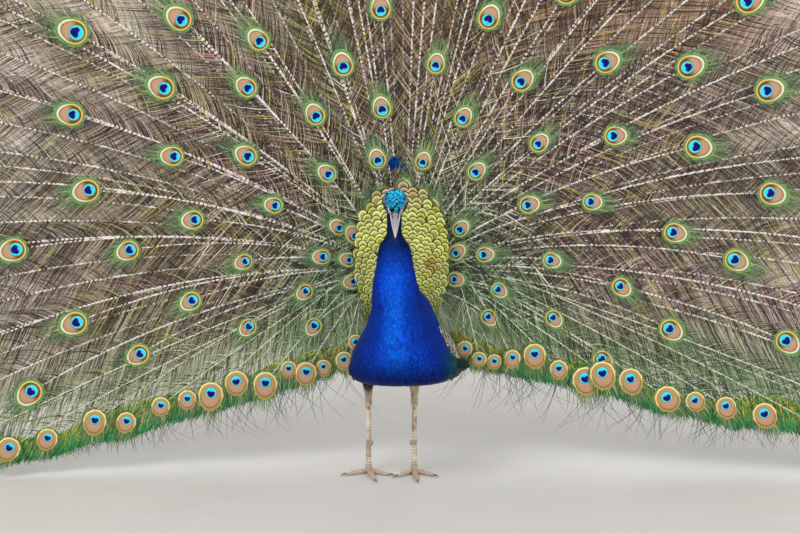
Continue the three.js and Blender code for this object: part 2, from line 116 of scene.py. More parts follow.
def makePiece(name, part, material, replaces=()):
    # A mesh of the part's vertices and faces, with its UV maps and its values and colours by vertex.
    points = np.ascontiguousarray(part["points"], np.float32)
    loops = np.concatenate([f.ravel() for f in part["faces"]]).astype(np.int32)
    sizes = np.concatenate([np.full(len(f), f.shape[1]) for f in part["faces"]])
    starts = np.concatenate([[0], np.cumsum(sizes)[:-1]]).astype(np.int32)
    mesh = bpy.data.meshes.new(name)
    mesh.vertices.add(len(points))
    mesh.vertices.foreach_set("co", points.ravel())
    mesh.loops.add(len(loops))
    mesh.loops.foreach_set("vertex_index", loops)
    mesh.polygons.add(len(sizes))
    mesh.polygons.foreach_set("loop_start", starts)
    mesh.update(calc_edges=True)
    mesh.polygons.foreach_set("use_smooth", np.full(len(sizes), True))
    for title, uv in part.get("maps", {}).items():
        layer = mesh.uv_layers.new(name=title)
        layer.data.foreach_set("uv", np.ascontiguousarray(uv[loops], np.float32).ravel())
    for title, value in part.get("values", {}).items():
        mesh.attributes.new(title, "FLOAT", "POINT").data.foreach_set("value", value.astype(np.float32))
    for title, colour in part.get("colours", {}).items():
        rgba = np.ones((len(points), 4), np.float32)
        rgba[:, :3] = colour
        mesh.attributes.new(title, "FLOAT_COLOR", "POINT").data.foreach_set("color", rgba.ravel())
    mesh.materials.append(material)
    piece = bpy.data.objects.new(name, mesh)
    bpy.context.scene.collection.objects.link(piece)
    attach(piece, "root")
    if replaces:
        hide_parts(*replaces)
    return piece


mostTriangles = 190000  # in one piece


def makeInChunks(name, part, shapes, material, replaces=()):
    # Equal shapes shared out over pieces of no more than mostTriangles; every face is a quad.
    triangles = 2 * len(part["faces"][0])
    chunks = int(np.ceil(triangles / mostTriangles))
    facesEach, perShape = len(part["faces"][0]) // shapes, len(part["points"]) // shapes
    for c in range(chunks):
        low, high = shapes * c // chunks, shapes * (c + 1) // chunks
        rows = slice(low * perShape, high * perShape)
        own = {"points": part["points"][rows],
               "faces": [part["faces"][0][low * facesEach:high * facesEach] - low * perShape]}
        for kind in ("maps", "values", "colours"):
            own[kind] = {n: v[rows] for n, v in part.get(kind, {}).items()}
        makePiece(f"{name}_{c + 1}", own, material, replaces if c == 0 else ())


def tube(path, wide, tall, around, flat):
    # An ellipse carried along a path: wide across it, tall along flat, with its ends closed to points.
    path = np.asarray(path, float)
    forward = unit(np.gradient(path, axis=0))
    side = unit(np.cross(forward, np.asarray(flat, float)))
    up = np.cross(side, forward)
    turn = np.linspace(0, 2 * np.pi, around, endpoint=False)
    ring = (np.cos(turn)[None, :, None] * side[:, None] * np.asarray(wide)[:, None, None]
            + np.sin(turn)[None, :, None] * up[:, None] * np.asarray(tall)[:, None, None])
    points = (path[:, None] + ring).reshape(-1, 3)
    return {"points": np.concatenate([points, path[[0, -1]]]), "faces": closedFaces(around, len(path))}


def tubeRelief(path, wide, tall, around, flat, relief):
    # An ellipse carried along a path, pushed outwards by relief(turn, share); its ends close to points.
    path = np.asarray(path, float)
    rows = len(path)
    forward = unit(np.gradient(path, axis=0))
    side = unit(np.cross(forward, np.asarray(flat, float)))
    up = np.cross(side, forward)
    turn, share = np.meshgrid(np.linspace(0, 2 * np.pi, around, endpoint=False), np.linspace(0, 1, rows))
    push = relief(turn, share)
    sidelong = (np.cos(turn) * (np.asarray(wide)[:, None] + push))[..., None] * side[:, None]
    upward = (np.sin(turn) * (np.asarray(tall)[:, None] + push))[..., None] * up[:, None]
    points = (path[:, None] + sidelong + upward).reshape(-1, 3)
    uv = beside(turn / (2 * np.pi), share).reshape(-1, 2)
    return {"points": np.concatenate([points, path[[0, -1]]]), "faces": closedFaces(around, rows),
            "maps": {"Vane": np.concatenate([uv, [[0.5, 0], [0.5, 1]]])}}


def noRelief(turn, share):  # 0 all over, for a plain tube
    return 0 * turn


def outwards(part):  # the part with its faces turned so that its volume is positive
    volume = 0.0
    middle = part["points"].mean(0)
    for faces in part["faces"]:
        p = part["points"][faces] - middle
        for k in range(1, faces.shape[1] - 1):
            volume += np.einsum("ij,ij->", p[:, 0], np.cross(p[:, k], p[:, k + 1]))
    if volume < 0:
        part["faces"] = [faces[:, ::-1] for faces in part["faces"]]
    return part


def slab(surface, columns, rows):  # both faces of surface(u, v, w), at w = 0 and 1, joined round the rim
    u, v = np.meshgrid(np.linspace(0, 1, columns), np.linspace(0, 1, rows))
    n = columns * rows
    points = np.concatenate([surface(u, v, 0.0).reshape(-1, 3), surface(u, v, 1.0).reshape(-1, 3)])
    rim = np.concatenate([np.arange(columns), np.arange(2, rows + 1) * columns - 1,
                          (rows - 1) * columns + np.arange(columns - 2, -1, -1),
                          np.arange(rows - 2, 0, -1) * columns])
    after = np.roll(rim, -1)
    faces = gridFaces(columns, rows)
    walls = beside(after, rim, rim + n, after + n)
    uv = np.tile(beside(u, v).reshape(-1, 2), (2, 1))
    faces = np.concatenate([faces, faces[:, ::-1] + n, walls])
    return outwards({"points": points, "faces": [faces], "maps": {"Vane": uv}})


def roundForm(point, around, rows):  # a closed form of point(u, v), whose first and last rows are poles
    u, v = np.meshgrid(np.linspace(0, 1, around, endpoint=False), np.linspace(0, 1, rows)[1:-1])
    ends = point(np.array([0.0, 0.0]), np.array([0.0, 1.0]))
    points = np.concatenate([point(u, v).reshape(-1, 3), ends])
    uv = np.concatenate([beside(u, v).reshape(-1, 2), [[0.5, 0], [0.5, 1]]])
    return outwards({"points": points, "faces": closedFaces(around, rows - 2), "maps": {"Vane": uv}})


def flatPlace(part, left, low, width, height):  # the part's own two measures as its place on the baked sheet
    uv = part["maps"]["Vane"]
    part["maps"]["OFBake"] = np.array([left, low]) + uv * np.array([width, height])
    return part


def between(a, b, c, d, f):  # the Catmull-Rom value at f of the way from b to c
    return b + 0.5 * f * (c - a + f * (2 * a - 5 * b + 4 * c - d + f * (3 * (b - c) + d - a)))


def curve(points, count):  # a Catmull-Rom curve through a few points, at evenly spaced counts
    p = np.asarray(points, float)
    last = len(p) - 1
    at = np.linspace(0, last, count)
    i = np.minimum(at.astype(int), last - 1)
    return between(*(p[np.clip(i + k, 0, last)] for k in (-1, 0, 1, 2)), (at - i)[:, None])


bakeTile = 0.003  # how wide one feather is on the baked sheet


def vanes(roots, lie, normals, length, width, plume, bake, rows=4, columns=3, lift=0.2,
          crown=0.3, shoulder=0.5, tipWidth=0.3):
    # Small feathers, one at each root: along the lie, rounded at the tip, bowed across and lifted outwards.
    n = len(roots)
    b = np.linspace(0, 1, rows)[:, None]
    a = np.linspace(-1, 1, columns)[None, :]
    end = np.clip((b - shoulder) / (1 - shoulder), 0, 1)
    half = (0.5 + 0.5 * smooth(0, 0.4, b)) * np.sqrt(1 - (1 - tipWidth ** 2) * end ** 2)
    length, width = np.broadcast_to(length, n)[:, None, None], np.broadcast_to(width, n)[:, None, None]
    lift = np.broadcast_to(lift, n)[:, None, None]
    normals = unit(normals)
    lie = across(lie, normals)
    side = np.cross(lie, normals)
    along = (length * (b + 0 * a))[..., None]
    sideways = (width * half * a)[..., None]
    rise = (lift * length * b ** 1.4 + crown * width * half * (1 - a ** 2))[..., None]
    points = (roots[:, None, None] + along * lie[:, None, None] + sideways * side[:, None, None]
              + rise * normals[:, None, None])
    uv = np.broadcast_to(beside(0.5 + 0.5 * a * half, b + 0 * a), (n, rows, columns, 2))
    place = bake[:, None, None] + bakeTile * (uv - 0.5)
    each = rows * columns
    tone = rng.random(n)
    colours = np.broadcast_to(plume[:, None, None], (n, rows, columns, 3))
    return {
        "points": points.reshape(-1, 3),
        "faces": [repeatFaces(gridFaces(columns, rows), n, each)],
        "maps": {"Vane": uv.reshape(-1, 2), "OFBake": place.reshape(-1, 2)},
        "values": {"tone": np.repeat(tone, each)},
        "colours": {"plume": colours.reshape(-1, 3)},
    }


def barbs(roots, heading, bend, sidelong, length, width, plume, tipPlume, bake, parts=3, blunt=0.25):
    # Thin strips: root + length (t heading + t squared bend), as wide as (1 - t) to the power 0.7.
    n = len(roots)
    t = np.linspace(0, 1, parts + 1)[None, :, None]
    length, width = np.broadcast_to(length, n)[:, None, None], np.broadcast_to(width, n)[:, None, None]
    middle = roots[:, None] + length * (t * heading[:, None] + t ** 2 * bend[:, None])
    reach = 0.5 * width * (blunt + (1 - blunt) * (1 - t) ** 0.7) * sidelong[:, None]
    points = np.stack([middle - reach, middle + reach], 2)
    points[..., 2] = np.maximum(points[..., 2], 0.001)
    uv = np.stack(np.broadcast_arrays(np.array([0.0, 1.0]), t[0]), -1)
    uv = np.broadcast_to(uv, (n, parts + 1, 2, 2))
    place = bake[:, None, None] + bakeTile * (uv - 0.5)
    each = 2 * (parts + 1)
    shade = np.broadcast_to(t[..., 0, None], (n, parts + 1, 2))
    return {
        "points": points.reshape(-1, 3),
        "faces": [repeatFaces(gridFaces(2, parts + 1), n, each)],
        "maps": {"Vane": uv.reshape(-1, 2), "OFBake": place.reshape(-1, 2)},
        "values": {"tone": np.repeat(rng.random(n), each)},
        "colours": {"plume": mix(plume[:, None, None], tipPlume[:, None, None], shade).reshape(-1, 3)},
    }


# Materials from nodes.
def feed(tree, socket, value):  # a link from a socket, or a fixed number or colour
    if isinstance(value, bpy.types.NodeSocket):
        tree.links.new(value, socket)
    elif socket.type == "RGBA" and len(value) == 3:
        socket.default_value = (*value, 1)
    else:
        socket.default_value = value


def newMaterial(name, roughness=0.6, metallic=0.0, sheen=0.0, coat=0.0, specular=0.5):
    # A material with its node tree and its one shader, whose plain levels are set here.
    material = bpy.data.materials.new(name)
    material.use_nodes = True
    shader = material.node_tree.nodes["Principled BSDF"]
    shader.inputs["Roughness"].default_value = roughness
    shader.inputs["Metallic"].default_value = metallic
    shader.inputs["Sheen Weight"].default_value = sheen
    shader.inputs["Coat Weight"].default_value = coat
    shader.inputs["Specular IOR Level"].default_value = specular
    return material, material.node_tree, shader


def calc(tree, operation, *terms):  # one sum on numbers or sockets
    node = tree.nodes.new("ShaderNodeMath")
    node.operation = operation
    for socket, term in zip(node.inputs, terms):
        feed(tree, socket, term)
    return node.outputs[0]


def plus(tree, first, second):  # first + second
    return calc(tree, "ADD", first, second)


def minus(tree, first, second):  # first - second
    return calc(tree, "SUBTRACT", first, second)


def times(tree, first, second):  # first x second
    return calc(tree, "MULTIPLY", first, second)


def scaled(tree, value, gain, shift):  # value x gain + shift
    return calc(tree, "MULTIPLY_ADD", value, gain, shift)


def blendColour(tree, share, first, second, way="MIX"):  # share of the way from first to second
    node = tree.nodes.new("ShaderNodeMix")
    node.data_type = "RGBA"
    node.blend_type = way
    feed(tree, node.inputs[0], share)
    feed(tree, node.inputs[6], first)
    feed(tree, node.inputs[7], second)
    return node.outputs[2]


def shaded(tree, colour, level):  # a colour times a level or another colour
    return blendColour(tree, 1.0, colour, level, "MULTIPLY")


def paint(tree, shader, colour):  # the shader's own colour, from a socket
    feed(tree, shader.inputs["Base Color"], colour)


def blendShader(tree, share, first, second):  # share of the way from one surface to the other
    node = tree.nodes.new("ShaderNodeMixShader")
    for socket, term in zip(node.inputs, (share, first, second)):
        feed(tree, socket, term)
    return node.outputs[0]


def step(tree, value, low, high):  # an eased step from 0 at low to 1 at high
    node = tree.nodes.new("ShaderNodeMapRange")
    node.interpolation_type = "SMOOTHSTEP"
    for key, term in (("Value", value), ("From Min", low), ("From Max", high)):
        feed(tree, node.inputs[key], term)
    return node.outputs[0]


def ramp(tree, value, stops):  # straight lines between the colours of the stops
    node = tree.nodes.new("ShaderNodeValToRGB")
    feed(tree, node.inputs[0], value)
    bar = node.color_ramp.elements
    while len(bar) < len(stops):
        bar.new(0.5)
    for element, (place, colour) in zip(bar, stops):
        element.position = place
        element.color = (*colour, 1)
    return node.outputs[0]


def read(tree, name, output="Color"):  # what the vertices carry under a name
    node = tree.nodes.new("ShaderNodeAttribute")
    node.attribute_name = name
    return node.outputs[output]


def readMap(tree, name="Vane"):  # the two numbers of a UV map
    node = tree.nodes.new("ShaderNodeUVMap")
    node.uv_map = name
    parts = tree.nodes.new("ShaderNodeSeparateXYZ")
    feed(tree, parts.inputs[0], node.outputs[0])
    return parts.outputs[0], parts.outputs[1]


def readObject(tree):  # the point's own place, in metres
    return tree.nodes.new("ShaderNodeTexCoord").outputs["Object"]


def noise(tree, scale, detail=3.0):  # soft random levels about 0.5, by the point's own place
    node = tree.nodes.new("ShaderNodeTexNoise")
    feed(tree, node.inputs["Vector"], readObject(tree))
    node.inputs["Scale"].default_value = scale
    node.inputs["Detail"].default_value = detail
    node.inputs["Roughness"].default_value = 0.55
    return node.outputs[0]


def bump(tree, shader, height, strength=0.4, distance=0.001):  # normals tilted by a height's slope
    node = tree.nodes.new("ShaderNodeBump")
    node.inputs["Strength"].default_value = strength
    node.inputs["Distance"].default_value = distance
    feed(tree, node.inputs["Height"], height)
    feed(tree, shader.inputs["Normal"], node.outputs[0])


def toneLevel(tree, spread):  # a level about 1, by the shape's own random tone
    return scaled(tree, read(tree, "tone", "Fac"), spread, 1 - spread / 2)


def featherMaterial(name, roughness=0.5, metallic=0.0, sheen=0.2, spread=0.5, streaks=28.0, **more):
    # The feather's own colour, lighter or darker from one feather to the next, with slanting barb lines.
    material, tree, shader = newMaterial(name, roughness, metallic, sheen, **more)
    u, v = readMap(tree)
    slant = calc(tree, "ABSOLUTE", minus(tree, u, 0.5))
    lines = calc(tree, "SINE", times(tree, minus(tree, v, slant), streaks * 6.28))
    level = times(tree, toneLevel(tree, spread), scaled(tree, lines, 0.10, 0.95))
    paint(tree, shader, shaded(tree, read(tree, "plume"), level))
    bump(tree, shader, lines, 0.25, 0.0004)
    return material


def barbMaterial(name, roughness, spread, sheen):
    # The barb's own colour, lighter or darker from one barb to the next.
    material, tree, shader = newMaterial(name, roughness, 0.0, sheen)
    paint(tree, shader, shaded(tree, read(tree, "plume"), toneLevel(tree, spread)))
    return material


def grainMaterial(name, dark, light, roughness, scale, strength, distance, **more):
    # A fine grain between two colours, and raised by as much.
    material, tree, shader = newMaterial(name, roughness, **more)
    grain = noise(tree, scale)
    paint(tree, shader, ramp(tree, grain, [(0.3, dark), (0.7, light)]))
    bump(tree, shader, grain, strength, distance)
    return material


# Camera, floor and light.
studio = {"camera": (-0.0257, -3.0268, 0.8), "down": 5.7, "lens": 57.375, "pale": (0.83, 0.82, 0.80),
          "sky": 0.70, "key": 118.0, "fill": 46.0, "behind": 34.0}
scene = bpy.context.scene
scene.view_settings.view_transform = "Standard"
cameraData = bpy.data.cameras.new("camera")
cameraData.lens = studio["lens"]
camera = bpy.data.objects.new("camera", cameraData)
camera.location = studio["camera"]
camera.rotation_euler = (np.radians(90 - studio["down"]), 0, 0)
scene.collection.objects.link(camera)
scene.camera = camera


def addLamp(name, place, aim, size, power):  # a round lamp turned towards aim
    data = bpy.data.lights.new(name, "AREA")
    data.shape = "DISK"
    data.size = size
    data.energy = power
    lamp = bpy.data.objects.new(name, data)
    lamp.location = place
    direction = np.array(aim) - np.array(place)
    flat = np.hypot(direction[0], direction[1])
    tilt, turn = np.arctan2(flat, -direction[2]), np.arctan2(direction[1], direction[0])
    lamp.rotation_euler = (tilt, 0, turn - np.pi / 2)
    scene.collection.objects.link(lamp)


addLamp("key_lamp", (-2.6, -3.8, 4.4), (0, 0, 0.7), 3.0, studio["key"])
addLamp("fill_lamp", (3.4, -3.4, 2.6), (0, 0, 0.7), 2.6, studio["fill"])
addLamp("behind_lamp", (0.6, 3.8, 3.6), (0, 0, 0.8), 2.6, studio["behind"])

world = bpy.data.worlds.new("studio")
scene.world = world
world.use_nodes = True
tree = world.node_tree
sky = tree.nodes["Background"]
sky.inputs[0].default_value = (1, 1, 1, 1)
sky.inputs[1].default_value = studio["sky"]
backdrop = tree.nodes.new("ShaderNodeBackground")
backdrop.inputs[0].default_value = (*studio["pale"], 1)
rays = tree.nodes.new("ShaderNodeLightPath")
seen = calc(tree, "MAXIMUM", rays.outputs["Is Camera Ray"], rays.outputs["Is Transmission Ray"])
either = blendShader(tree, seen, sky.outputs[0], backdrop.outputs[0])
feed(tree, tree.nodes["World Output"].inputs[0], either)

floorMaterial, tree, shader = newMaterial("pale_floor", 0.9, specular=0.1)
grain = noise(tree, 3.0, 4.0)
paint(tree, shader, ramp(tree, grain, [(0.3, (0.72, 0.70, 0.67)), (0.7, (0.78, 0.76, 0.73))]))
plainLight = tree.nodes.new("ShaderNodeEmission")
plainLight.inputs[0].default_value = (*studio["pale"], 1)
away = tree.nodes.new("ShaderNodeVectorMath")
away.operation = "LENGTH"
feed(tree, away.inputs[0], readObject(tree))
rays = tree.nodes.new("ShaderNodeLightPath")
far = times(tree, step(tree, away.outputs["Value"], 1.8, 5.0), rays.outputs["Is Camera Ray"])
either = blendShader(tree, far, shader.outputs[0], plainLight.outputs[0])
feed(tree, tree.nodes["Material Output"].inputs[0], either)
ringCount = 64
turn = np.linspace(0, 2 * np.pi, ringCount, endpoint=False)
reach = np.array([0.05, 2.0, 6.0, 40.0])[:, None]
floorPoints = beside(reach * np.cos(turn), reach * np.sin(turn), 0 * reach * turn).reshape(-1, 3)
floorMesh = bpy.data.meshes.new("floor")
floorFaces = [tuple(f) for f in gridFaces(ringCount, 4, True)[:, ::-1].tolist()] + [tuple(range(ringCount))]
floorMesh.from_pydata(floorPoints.tolist(), [], floorFaces)
floorMesh.materials.append(floorMaterial)
floor = bpy.data.objects.new("floor", floorMesh)
scene.collection.objects.link(floor)
print("stage: camera, light and floor")

# The bird's own shapes, in millimetres about its middle, as the frame has them.
planCentre = np.array([0.2, 26.8, 0.0])


def placed(points):  # millimetres about the bird's middle to metres in the frame
    return (np.asarray(points, float) - planCentre) * 0.001


bodyRows = np.array([  # height, foremost y, hindmost y, half width of the trunk's and neck's level sections
    [234, -22, -22, 0], [237, -122, 66, 92], [248, -176, 122, 117], [270, -202, 168, 128],
    [305, -214, 204, 114], [345, -213, 224, 92], [382, -207, 226, 77], [412, -201, 188, 66.5],
    [437, -194, 56, 60.5], [463, -188, -48, 53.5], [506, -180, -88, 45], [545, -178, -103, 38.5],
    [566, -177, -112, 32], [582, -175, -121, 22], [598, -173, -127, 17.5], [628, -171, -130, 17.5],
    [660, -178, -135, 18], [680, -170, -149, 11], [685, -160, -160, 0]], float)
levelPower = 2.15  # the superellipse of the level sections
widestAt = 0.44  # where they are widest, from front to back
headShape = {"x": -36, "y": -182, "z": 661, "pitch": 56, "length": 66, "height": 44, "width": 55}
pitch = np.radians(headShape["pitch"])
headForward = np.array([0, -np.cos(pitch), -np.sin(pitch)])
headUp = np.array([0, -np.sin(pitch), np.cos(pitch)])
headCentre = np.array([headShape["x"], headShape["y"], headShape["z"]], float)


def bodyColumn(column, place):  # Catmull-Rom value of one column at a place counted in rows
    last = len(bodyRows) - 1
    at = np.clip(place, 0, last)
    i = np.minimum(np.floor(at).astype(int), last - 1)
    return between(*(bodyRows[np.clip(i + k, 0, last), column] for k in (-1, 0, 1, 2)), at - i)


placesTable = np.linspace(0, len(bodyRows) - 1, 721)
heightsTable = bodyColumn(0, placesTable)


def drift(y, z=0.0):  # the sideways shift of the body's middle
    return -14 + 0.08 * y - 12 * np.clip((z - 260) / 220, 0, 1)


def bodyHalf(y, z):  # half the body's width at a point of its middle plane, 0 outside its outline
    place = np.interp(z, heightsTable, placesTable)
    front, back = bodyColumn(1, place), bodyColumn(2, place)
    middle = front + widestAt * (back - front)
    share = np.where(y < middle, (middle - y) / np.maximum(middle - front, 1e-6),
                     (y - middle) / np.maximum(back - middle, 1e-6))
    inside = (share < 1) & (z > 234) & (z < 685)
    half = bodyColumn(3, place) * (1 - np.clip(share, 0, 1) ** levelPower) ** (1 / levelPower)
    return np.where(inside, half, 0)


def bodyPoint(turn, place):  # a superellipse of the row's width and depth, round the drifted middle
    front, back = bodyColumn(1, place), bodyColumn(2, place)
    middle = front + widestAt * (back - front)
    c, s = np.cos(turn), np.sin(turn)
    bowed = 2 / levelPower
    y = middle + np.where(c < 0, middle - front, back - middle) * np.sign(c) * np.abs(c) ** bowed
    z = bodyColumn(0, place) + 0 * turn
    x = drift(y, z) + np.maximum(0, bodyColumn(3, place)) * np.sign(s) * np.abs(s) ** bowed
    return beside(x, y, z)


def headPoint(forward, side, up):  # a point of the head's own frame
    parts = np.broadcast_arrays(forward, side, up)
    forward, side, up = (np.asarray(p, float)[..., None] for p in parts)
    return headCentre + forward * headForward + side * np.array([1.0, 0, 0]) + up * headUp


def headLocal(points):  # forward, side and up of points in metres
    q = np.asarray(points) * 1000 + planCentre - headCentre
    return q @ headForward, q[..., 0], q @ headUp


def headSurface(turn, share):  # an ellipsoid, narrower and lower towards the bill
    along, ring = np.cos(np.pi * share), np.sin(np.pi * share)
    narrow = 1 - 0.3 * np.maximum(0, along) ** 2
    up = np.sin(turn) * headShape["height"] / 2 * ring * narrow - 5 * np.maximum(0, along) ** 2
    side = np.cos(turn) * headShape["width"] / 2 * ring * (narrow - 0.26 * np.maximum(0, -along) ** 1.4)
    return headPoint(along * headShape["length"] / 2, side, up)


legs = {"y": 10, "hock": 158, "shank": 6.5, "ankle": 8,
        "right": {"x": -101, "toes": (-61, 12, 58), "hind": 172},
        "left": {"x": 9, "toes": (-43, 4, 50), "hind": 188}}


def thighPath(side, count):  # a thigh's middle line, from just below the heel joint into the trunk
    x, y, hock = legs[side]["x"], legs["y"], legs["hock"]
    top = x + (drift(0) - x) * 0.1
    return curve([[x, y + 10, hock - 8], [x, y + 2, 190], [x, y - 18, 234], [top, y - 44, 300]], count)


def thighRadii(v):  # half a thigh's width and depth: 7.2 + 27 v to the power 2.1, deeper at the top
    r = 7.2 + 27 * v ** 2.1
    return r * 0.84, r * (1 + 0.5 * v)


# One skin for head, neck, trunk, rump and thighs.
skinShape = {"voxel": 0.003, "smoothing": 6, "coatDepth": 0.0042, "neckDepth": 0.003, "faceDepth": 0.0012}


def shellOf(surface, around, rows, last):  # the whole of surface(turn, place), place from 0 to last
    turn, place = np.meshgrid(np.linspace(0, 2 * np.pi, around, endpoint=False), np.linspace(0, last, rows))
    return {"points": placed(surface(turn, place)).reshape(-1, 3), "faces": [gridFaces(around, rows, True)]}


shells = [shellOf(bodyPoint, 96, 150, len(bodyRows) - 1), shellOf(headSurface, 64, 44, 1)]
thighSteps = 30
for side in ("left", "right"):
    wide, tall = thighRadii(np.linspace(0, 1, thighSteps))
    shells.append(tube(placed(thighPath(side, thighSteps)), wide * 0.001, tall * 0.001, 32, (0, 1, 0)))
skinMaterial, tree, shader = newMaterial("bird_skin", 0.65, sheen=0.2)
speckle = noise(tree, 420.0, 3.0)
level = scaled(tree, speckle, 0.7, 0.45)
paint(tree, shader, shaded(tree, read(tree, "plume"), level))
bump(tree, shader, speckle, 0.5, 0.001)
raw = makePiece("skin_shells", join(shells), skinMaterial)
remesh = raw.modifiers.new("remesh", "REMESH")
remesh.mode = "VOXEL"
remesh.voxel_size = skinShape["voxel"]
ease = raw.modifiers.new("ease", "SMOOTH")
ease.iterations = skinShape["smoothing"]
evaluated = raw.evaluated_get(bpy.context.evaluated_depsgraph_get())
solid = evaluated.to_mesh()
count = len(solid.vertices)
skinPoints = np.empty(count * 3, np.float32)
solid.vertices.foreach_get("co", skinPoints)
skinPoints = skinPoints.reshape(-1, 3).astype(float)
skinNormals = np.empty(count * 3, np.float32)
solid.vertices.foreach_get("normal", skinNormals)
skinNormals = skinNormals.reshape(-1, 3).astype(float)
corners = np.empty(len(solid.loops), np.int32)
solid.loops.foreach_get("vertex_index", corners)
sizes = np.empty(len(solid.polygons), np.int32)
solid.polygons.foreach_get("loop_total", sizes)
evaluated.to_mesh_clear()
bpy.data.objects.remove(raw)
skinFaces = corners.reshape(-1, 4)
print("stage: skin of", count, "points", "all quads" if (sizes == 4).all() else "mixed faces")

# Where the head's marks lie, from its own frame: the same rule for skin and coat.
eyes = {"radius": 6.2, "forward": 11, "up": 2, "side": 21.5}


def headShare(points):  # 1 on the head, 0 on the neck
    forward, side, up = headLocal(points)
    inside = (forward / 36) ** 2 + (side / 30.5) ** 2 + (up / 25) ** 2
    behind = smooth(-20, -6, forward + 0.35 * up)
    return (1 - smooth(1.0, 1.25, inside)) * behind


def bareSkin(points):
    # The bare white marks: a stripe from behind the eye over it to the bill's root, and a crescent under it.
    forward, side, up = headLocal(points)
    over = 10 - 14 * (np.maximum(forward - 4, 0) / 28) ** 2 - 4 * (np.maximum(2 - forward, 0) / 14) ** 2
    stripe = bell(up, over, 1.7) * smooth(-4, 3, forward) * smooth(35, 31, forward)
    under = -7.5 + 0.016 * (forward - 9) ** 2
    crescent = bell(up, under, 2.6 - 0.06 * np.abs(forward - 9))
    crescent = crescent * smooth(-3, 2, forward) * smooth(27, 22, forward)
    return np.clip(1.5 * np.maximum(stripe, crescent), 0, 1) * smooth(8, 11, np.abs(side) + 0.3 * forward)


def markingsAndPaintedLight(points, normals):
    # The plumage's colours as a rule of place, with painted highlights and shade on the neck and breast:
    # zones in the trunk's, neck's and head's own measures.
    q = np.asarray(points) * 1000 + planCentre
    x, y, z = q[:, 0], q[:, 1], q[:, 2]
    half = np.maximum(bodyHalf(np.minimum(y, 150), np.clip(z, 240, 640)), 14)
    sideways = (x - drift(y, z)) / np.maximum(half, 14)
    wobble = 0.5 + 0.5 * np.sin(x * 0.23 + np.sin(z * 0.11) * 2) * np.sin(z * 0.17 + y * 0.09)
    cobalt, azure, violet = srgb(2, 76, 214), srgb(8, 138, 238), srgb(6, 46, 174)
    # painted highlight: azure over the middle of the neck and breast where they face forward, standing in for
    # their sheen
    front = np.clip(-normals[:, 1], 0, 1)
    patches = 0.5 + 0.5 * np.sin(x * 0.07 + 2 * np.sin(z * 0.045)) * np.sin(z * 0.06 + 1.3 * np.sin(x * 0.05))
    paintedSheen = bell(sideways + 0.05, 0, 0.95) * front * (0.2 + 0.8 * smooth(560, 440, z)) * smooth(250, 350, z)
    colour = mix(cobalt, azure, 0.44 * paintedSheen * (0.3 + 0.7 * patches) * (0.6 + 0.4 * wobble))
    # painted shade: darker violet towards the sides, where the rounded neck and breast turn away
    edge = smooth(0.55, 1.0, np.abs(sideways)) * smooth(262, 330, z)
    colour = mix(colour, violet, 0.7 * edge)
    # painted shadow of the head: dark navy up the neck beneath it
    colour = mix(colour, srgb(2, 16, 66), smooth(500, 590, z) * 0.95)
    # painted highlight: a teal gleam on the front of the upper neck, where it faces forward
    colour = mix(colour, srgb(6, 66, 100), 0.55 * bell(z, 588, 16) * bell(sideways, 0, 0.5) * front)
    low = smooth(336, 262, z)
    colour = mix(colour, srgb(2, 20, 84), 0.9 * low)
    colour = mix(colour, srgb(9, 11, 22), smooth(246, 238, z) * smooth(-160, -60, y))
    flank = smooth(0.55, 0.9, sideways) * smooth(-150, -90, y) * smooth(330, 285, z)
    colour = mix(colour, srgb(8, 104, 104), 0.8 * flank)
    back = smooth(-10, 60, y) * smooth(370, 400, z)
    colour = mix(colour, srgb(18, 98, 92), 0.8 * back)
    sides = smooth(-20, 40, y) * smooth(400, 360, z)
    colour = mix(colour, srgb(24, 24, 26), 0.9 * sides)
    rear = smooth(95, 150, y)
    colour = mix(colour, srgb(118, 108, 92), rear)
    legZone = smooth(246, 226, z) * smooth(-160, -100, y)
    buff = mix(srgb(214, 194, 158), srgb(170, 146, 112), wobble)
    colour = mix(colour, buff, legZone)
    wedge = smooth(-74, -82, x) * smooth(-1, -12, y) * smooth(196, 216, z) * smooth(252, 240, z)
    colour = mix(colour, srgb(10, 10, 14), wedge)

    forward, side, up = headLocal(points)
    on = headShare(points)
    crownTurn = 0.5 + 0.5 * np.sin(forward * 1.25 + 2 * np.sin(side * 0.9)) * np.sin(side * 1.45 + 0.9 * up)
    crown = mix(1.3 * srgb(58, 206, 252), srgb(2, 26, 96), smooth(0.43, 0.62, crownTurn))
    crown = mix(crown, srgb(5, 40, 130), 0.7 * smooth(15, 21, np.abs(side)))
    face = mix(srgb(10, 46, 70), srgb(6, 8, 14), bell(forward, 12, 14) * smooth(-14, -4, up))
    face = mix(face, srgb(14, 92, 96), smooth(4, -8, forward) * smooth(8, -4, up))
    face = mix(face, srgb(9, 20, 74), smooth(-10, -20, up))
    above = smooth(-2, 3, up - 6 + 10 * (np.maximum(forward - 4, 0) / 28) ** 2)
    colour = mix(colour, mix(face, crown, above), on)
    lores = smooth(20, 26, forward) * smooth(-8, -2, up) * smooth(2, 7, np.abs(side))
    colour = mix(colour, srgb(8, 16, 24), on * lores)
    return mix(colour, 1.25 * srgb(246, 248, 250), on * bareSkin(points))


onHead = headShare(skinPoints)
neckShare = smooth(0.40, 0.46, skinPoints[:, 2])
depth = skinShape["coatDepth"] + (skinShape["neckDepth"] - skinShape["coatDepth"]) * neckShare
depth = depth + (skinShape["faceDepth"] - depth) * np.maximum(onHead, smooth(0.236, 0.222, skinPoints[:, 2]))
forward, side, up = headLocal(skinPoints)
eyeDistance = np.sqrt((forward - eyes["forward"]) ** 2 + (up - eyes["up"]) ** 2)
socket = bell(eyeDistance, 0, 8.0) * smooth(14, 19, np.abs(side)) * onHead
ridge = bareSkin(skinPoints) * onHead
skinPoints = skinPoints - skinNormals * (depth + 0.0026 * socket - 0.0008 * ridge)[:, None]


